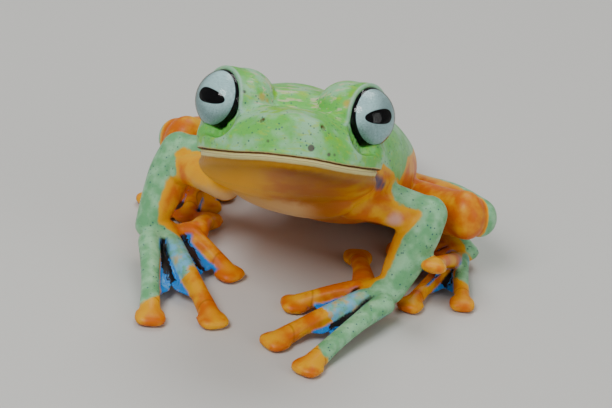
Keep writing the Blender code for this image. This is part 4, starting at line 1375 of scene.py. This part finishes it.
def eyeball_material():
    """Silvery iris with fine streaks, painted shade on its lower half, a black pupil and a black rim."""
    made, maker = new_material("eyeball")
    around, angle = maker.field("around"), maker.field("angle")
    streaks = maker.noise(maker.place(maker.times(around, 0.55), maker.times(angle, 0.12)),
                          1.0 / 1.6, 5.0, 0.65)
    tone = maker.mix(maker.step(streaks, 0.35, 0.65), IRIS_DEEP, IRIS_SILVER)
    veins = maker.noise(maker.place(maker.times(around, 0.3), maker.times(angle, 0.04)),
                        1.0 / 3.0, 3.0, 0.5, 0.6)
    tone = maker.mix(maker.step(maker.gap(veins, 0.5), 0.035, 0.0, 0.0, 0.4), tone, IRIS_DEEP, "MULTIPLY")
    # Painted shade: the iris is darkened towards its lower edge, away from the light above.
    low = maker.step(maker.field("height"), 0.9, -0.9, 0.0, 0.3)
    tone = maker.mix(low, tone, IRIS_DEEP, "MULTIPLY")
    dark = maker.math("MAXIMUM", maker.step(angle, *RIM_ANGLES),
                      maker.step(maker.field("pupil"), 0.03, -0.03))
    sheen = maker.times(maker.math("SUBTRACT", 1.0, dark), 0.4)
    surface = maker.add("ShaderNodeBsdfPrincipled", [
        ("Base Color", maker.mix(dark, tone, DARK)), ("Roughness", 0.5), ("Specular IOR Level", sheen)])
    return finish_material(made, maker, surface.outputs[0])


def cornea_material():
    """Clear wet skin: it only adds the glints of the lights."""
    made, maker = new_material("cornea")
    clear = maker.add("ShaderNodeBsdfTransparent")
    gloss = maker.add("ShaderNodeBsdfGlossy", [("Roughness", 0.06)])
    fresnel = maker.add("ShaderNodeFresnel", [("IOR", CORNEA_IOR)])
    both = maker.add("ShaderNodeMixShader", [(0, fresnel.outputs[0]), (1, clear.outputs[0]),
                                             (2, gloss.outputs[0])])
    return finish_material(made, maker, both.outputs[0])


skin.data.materials.append(skin_material())
ball_finish, cornea_finish = eyeball_material(), cornea_material()
for side in SIDES:
    eyes[side][0].data.materials.append(ball_finish)
    eyes[side][1].data.materials.append(cornea_finish)

# %% [markdown]
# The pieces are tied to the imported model: the skin stands for all the flesh, the balls for
# the eyes. A piece could be made for each solid, but skin has no seams, so one piece stands
# for many. Nothing on this frog moves, so every piece rides on the one body.

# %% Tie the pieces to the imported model
FLESH = [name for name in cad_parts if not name.startswith("eye_")]
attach(skin, "root")
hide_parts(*FLESH)
for side in SIDES:
    ball, cornea = eyes[side]
    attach(ball, "root")
    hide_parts("eye_" + side)
    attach(cornea, "root")
print("the skin stands for", len(FLESH), "nodes")

# %% [markdown]
# The frog rests on a plain pale floor under three soft lamps, with pale air all round. Small
# lamps could light it too, but their shadows would be hard and black. Large lamps close by
# give soft edges, as in a studio.

# %% Floor and light
FLOOR_HALF_WIDTH = 2.0
FLOOR_DROP = 0.00002
FLOOR_GREY = (0.62, 0.62, 0.6, 1.0)
AIR_COLOUR = (0.88, 0.86, 0.82, 1.0)
AIR_STRENGTH = 0.35
LAMP_AIM = Vector((0.0, 0.0, 0.015))


def make_floor():
    """A wide pale sheet just under the frog."""
    corners = np.array([(-1, -1, 0), (1, -1, 0), (1, 1, 0), (-1, 1, 0)], float) * FLOOR_HALF_WIDTH
    floor = make_object("floor", corners - [0.0, 0.0, FLOOR_DROP], [[0, 1, 2, 3]])
    made, maker = new_material("floor")
    surface = maker.add("ShaderNodeBsdfPrincipled", [("Base Color", FLOOR_GREY), ("Roughness", 0.8)])
    floor.data.materials.append(finish_material(made, maker, surface.outputs[0]))


def make_lamp(name, place, size, power):
    """A square soft lamp that looks at the frog's middle."""
    lamp = bpy.data.lights.new(name, "AREA")
    lamp.size = size
    lamp.energy = power
    made = bpy.data.objects.new(name, lamp)
    bpy.context.scene.collection.objects.link(made)
    made.location = place
    made.rotation_mode = "QUATERNION"
    made.rotation_quaternion = (LAMP_AIM - Vector(place)).to_track_quat("-Z", "Y")


def make_world():
    """Pale even light from all round."""
    world = bpy.data.worlds.new("air")
    world.use_nodes = True
    background = world.node_tree.nodes["Background"]
    background.inputs[0].default_value = AIR_COLOUR
    background.inputs[1].default_value = AIR_STRENGTH
    bpy.context.scene.world = world


make_floor()
make_lamp("key", (-0.18, -0.32, 0.42), 0.22, 1.9)
make_lamp("fill", (0.42, -0.3, 0.2), 0.3, 0.6)
make_lamp("top", (0.05, 0.25, 0.5), 0.3, 1.3)
make_world()

# %% [markdown]
# The last cell brings the scene up to date. The dressed frog's box should agree with the imported
# one to a few tenths of a millimetre, since the skin lies over the solids.

# %% Finish
bpy.context.view_layer.update()
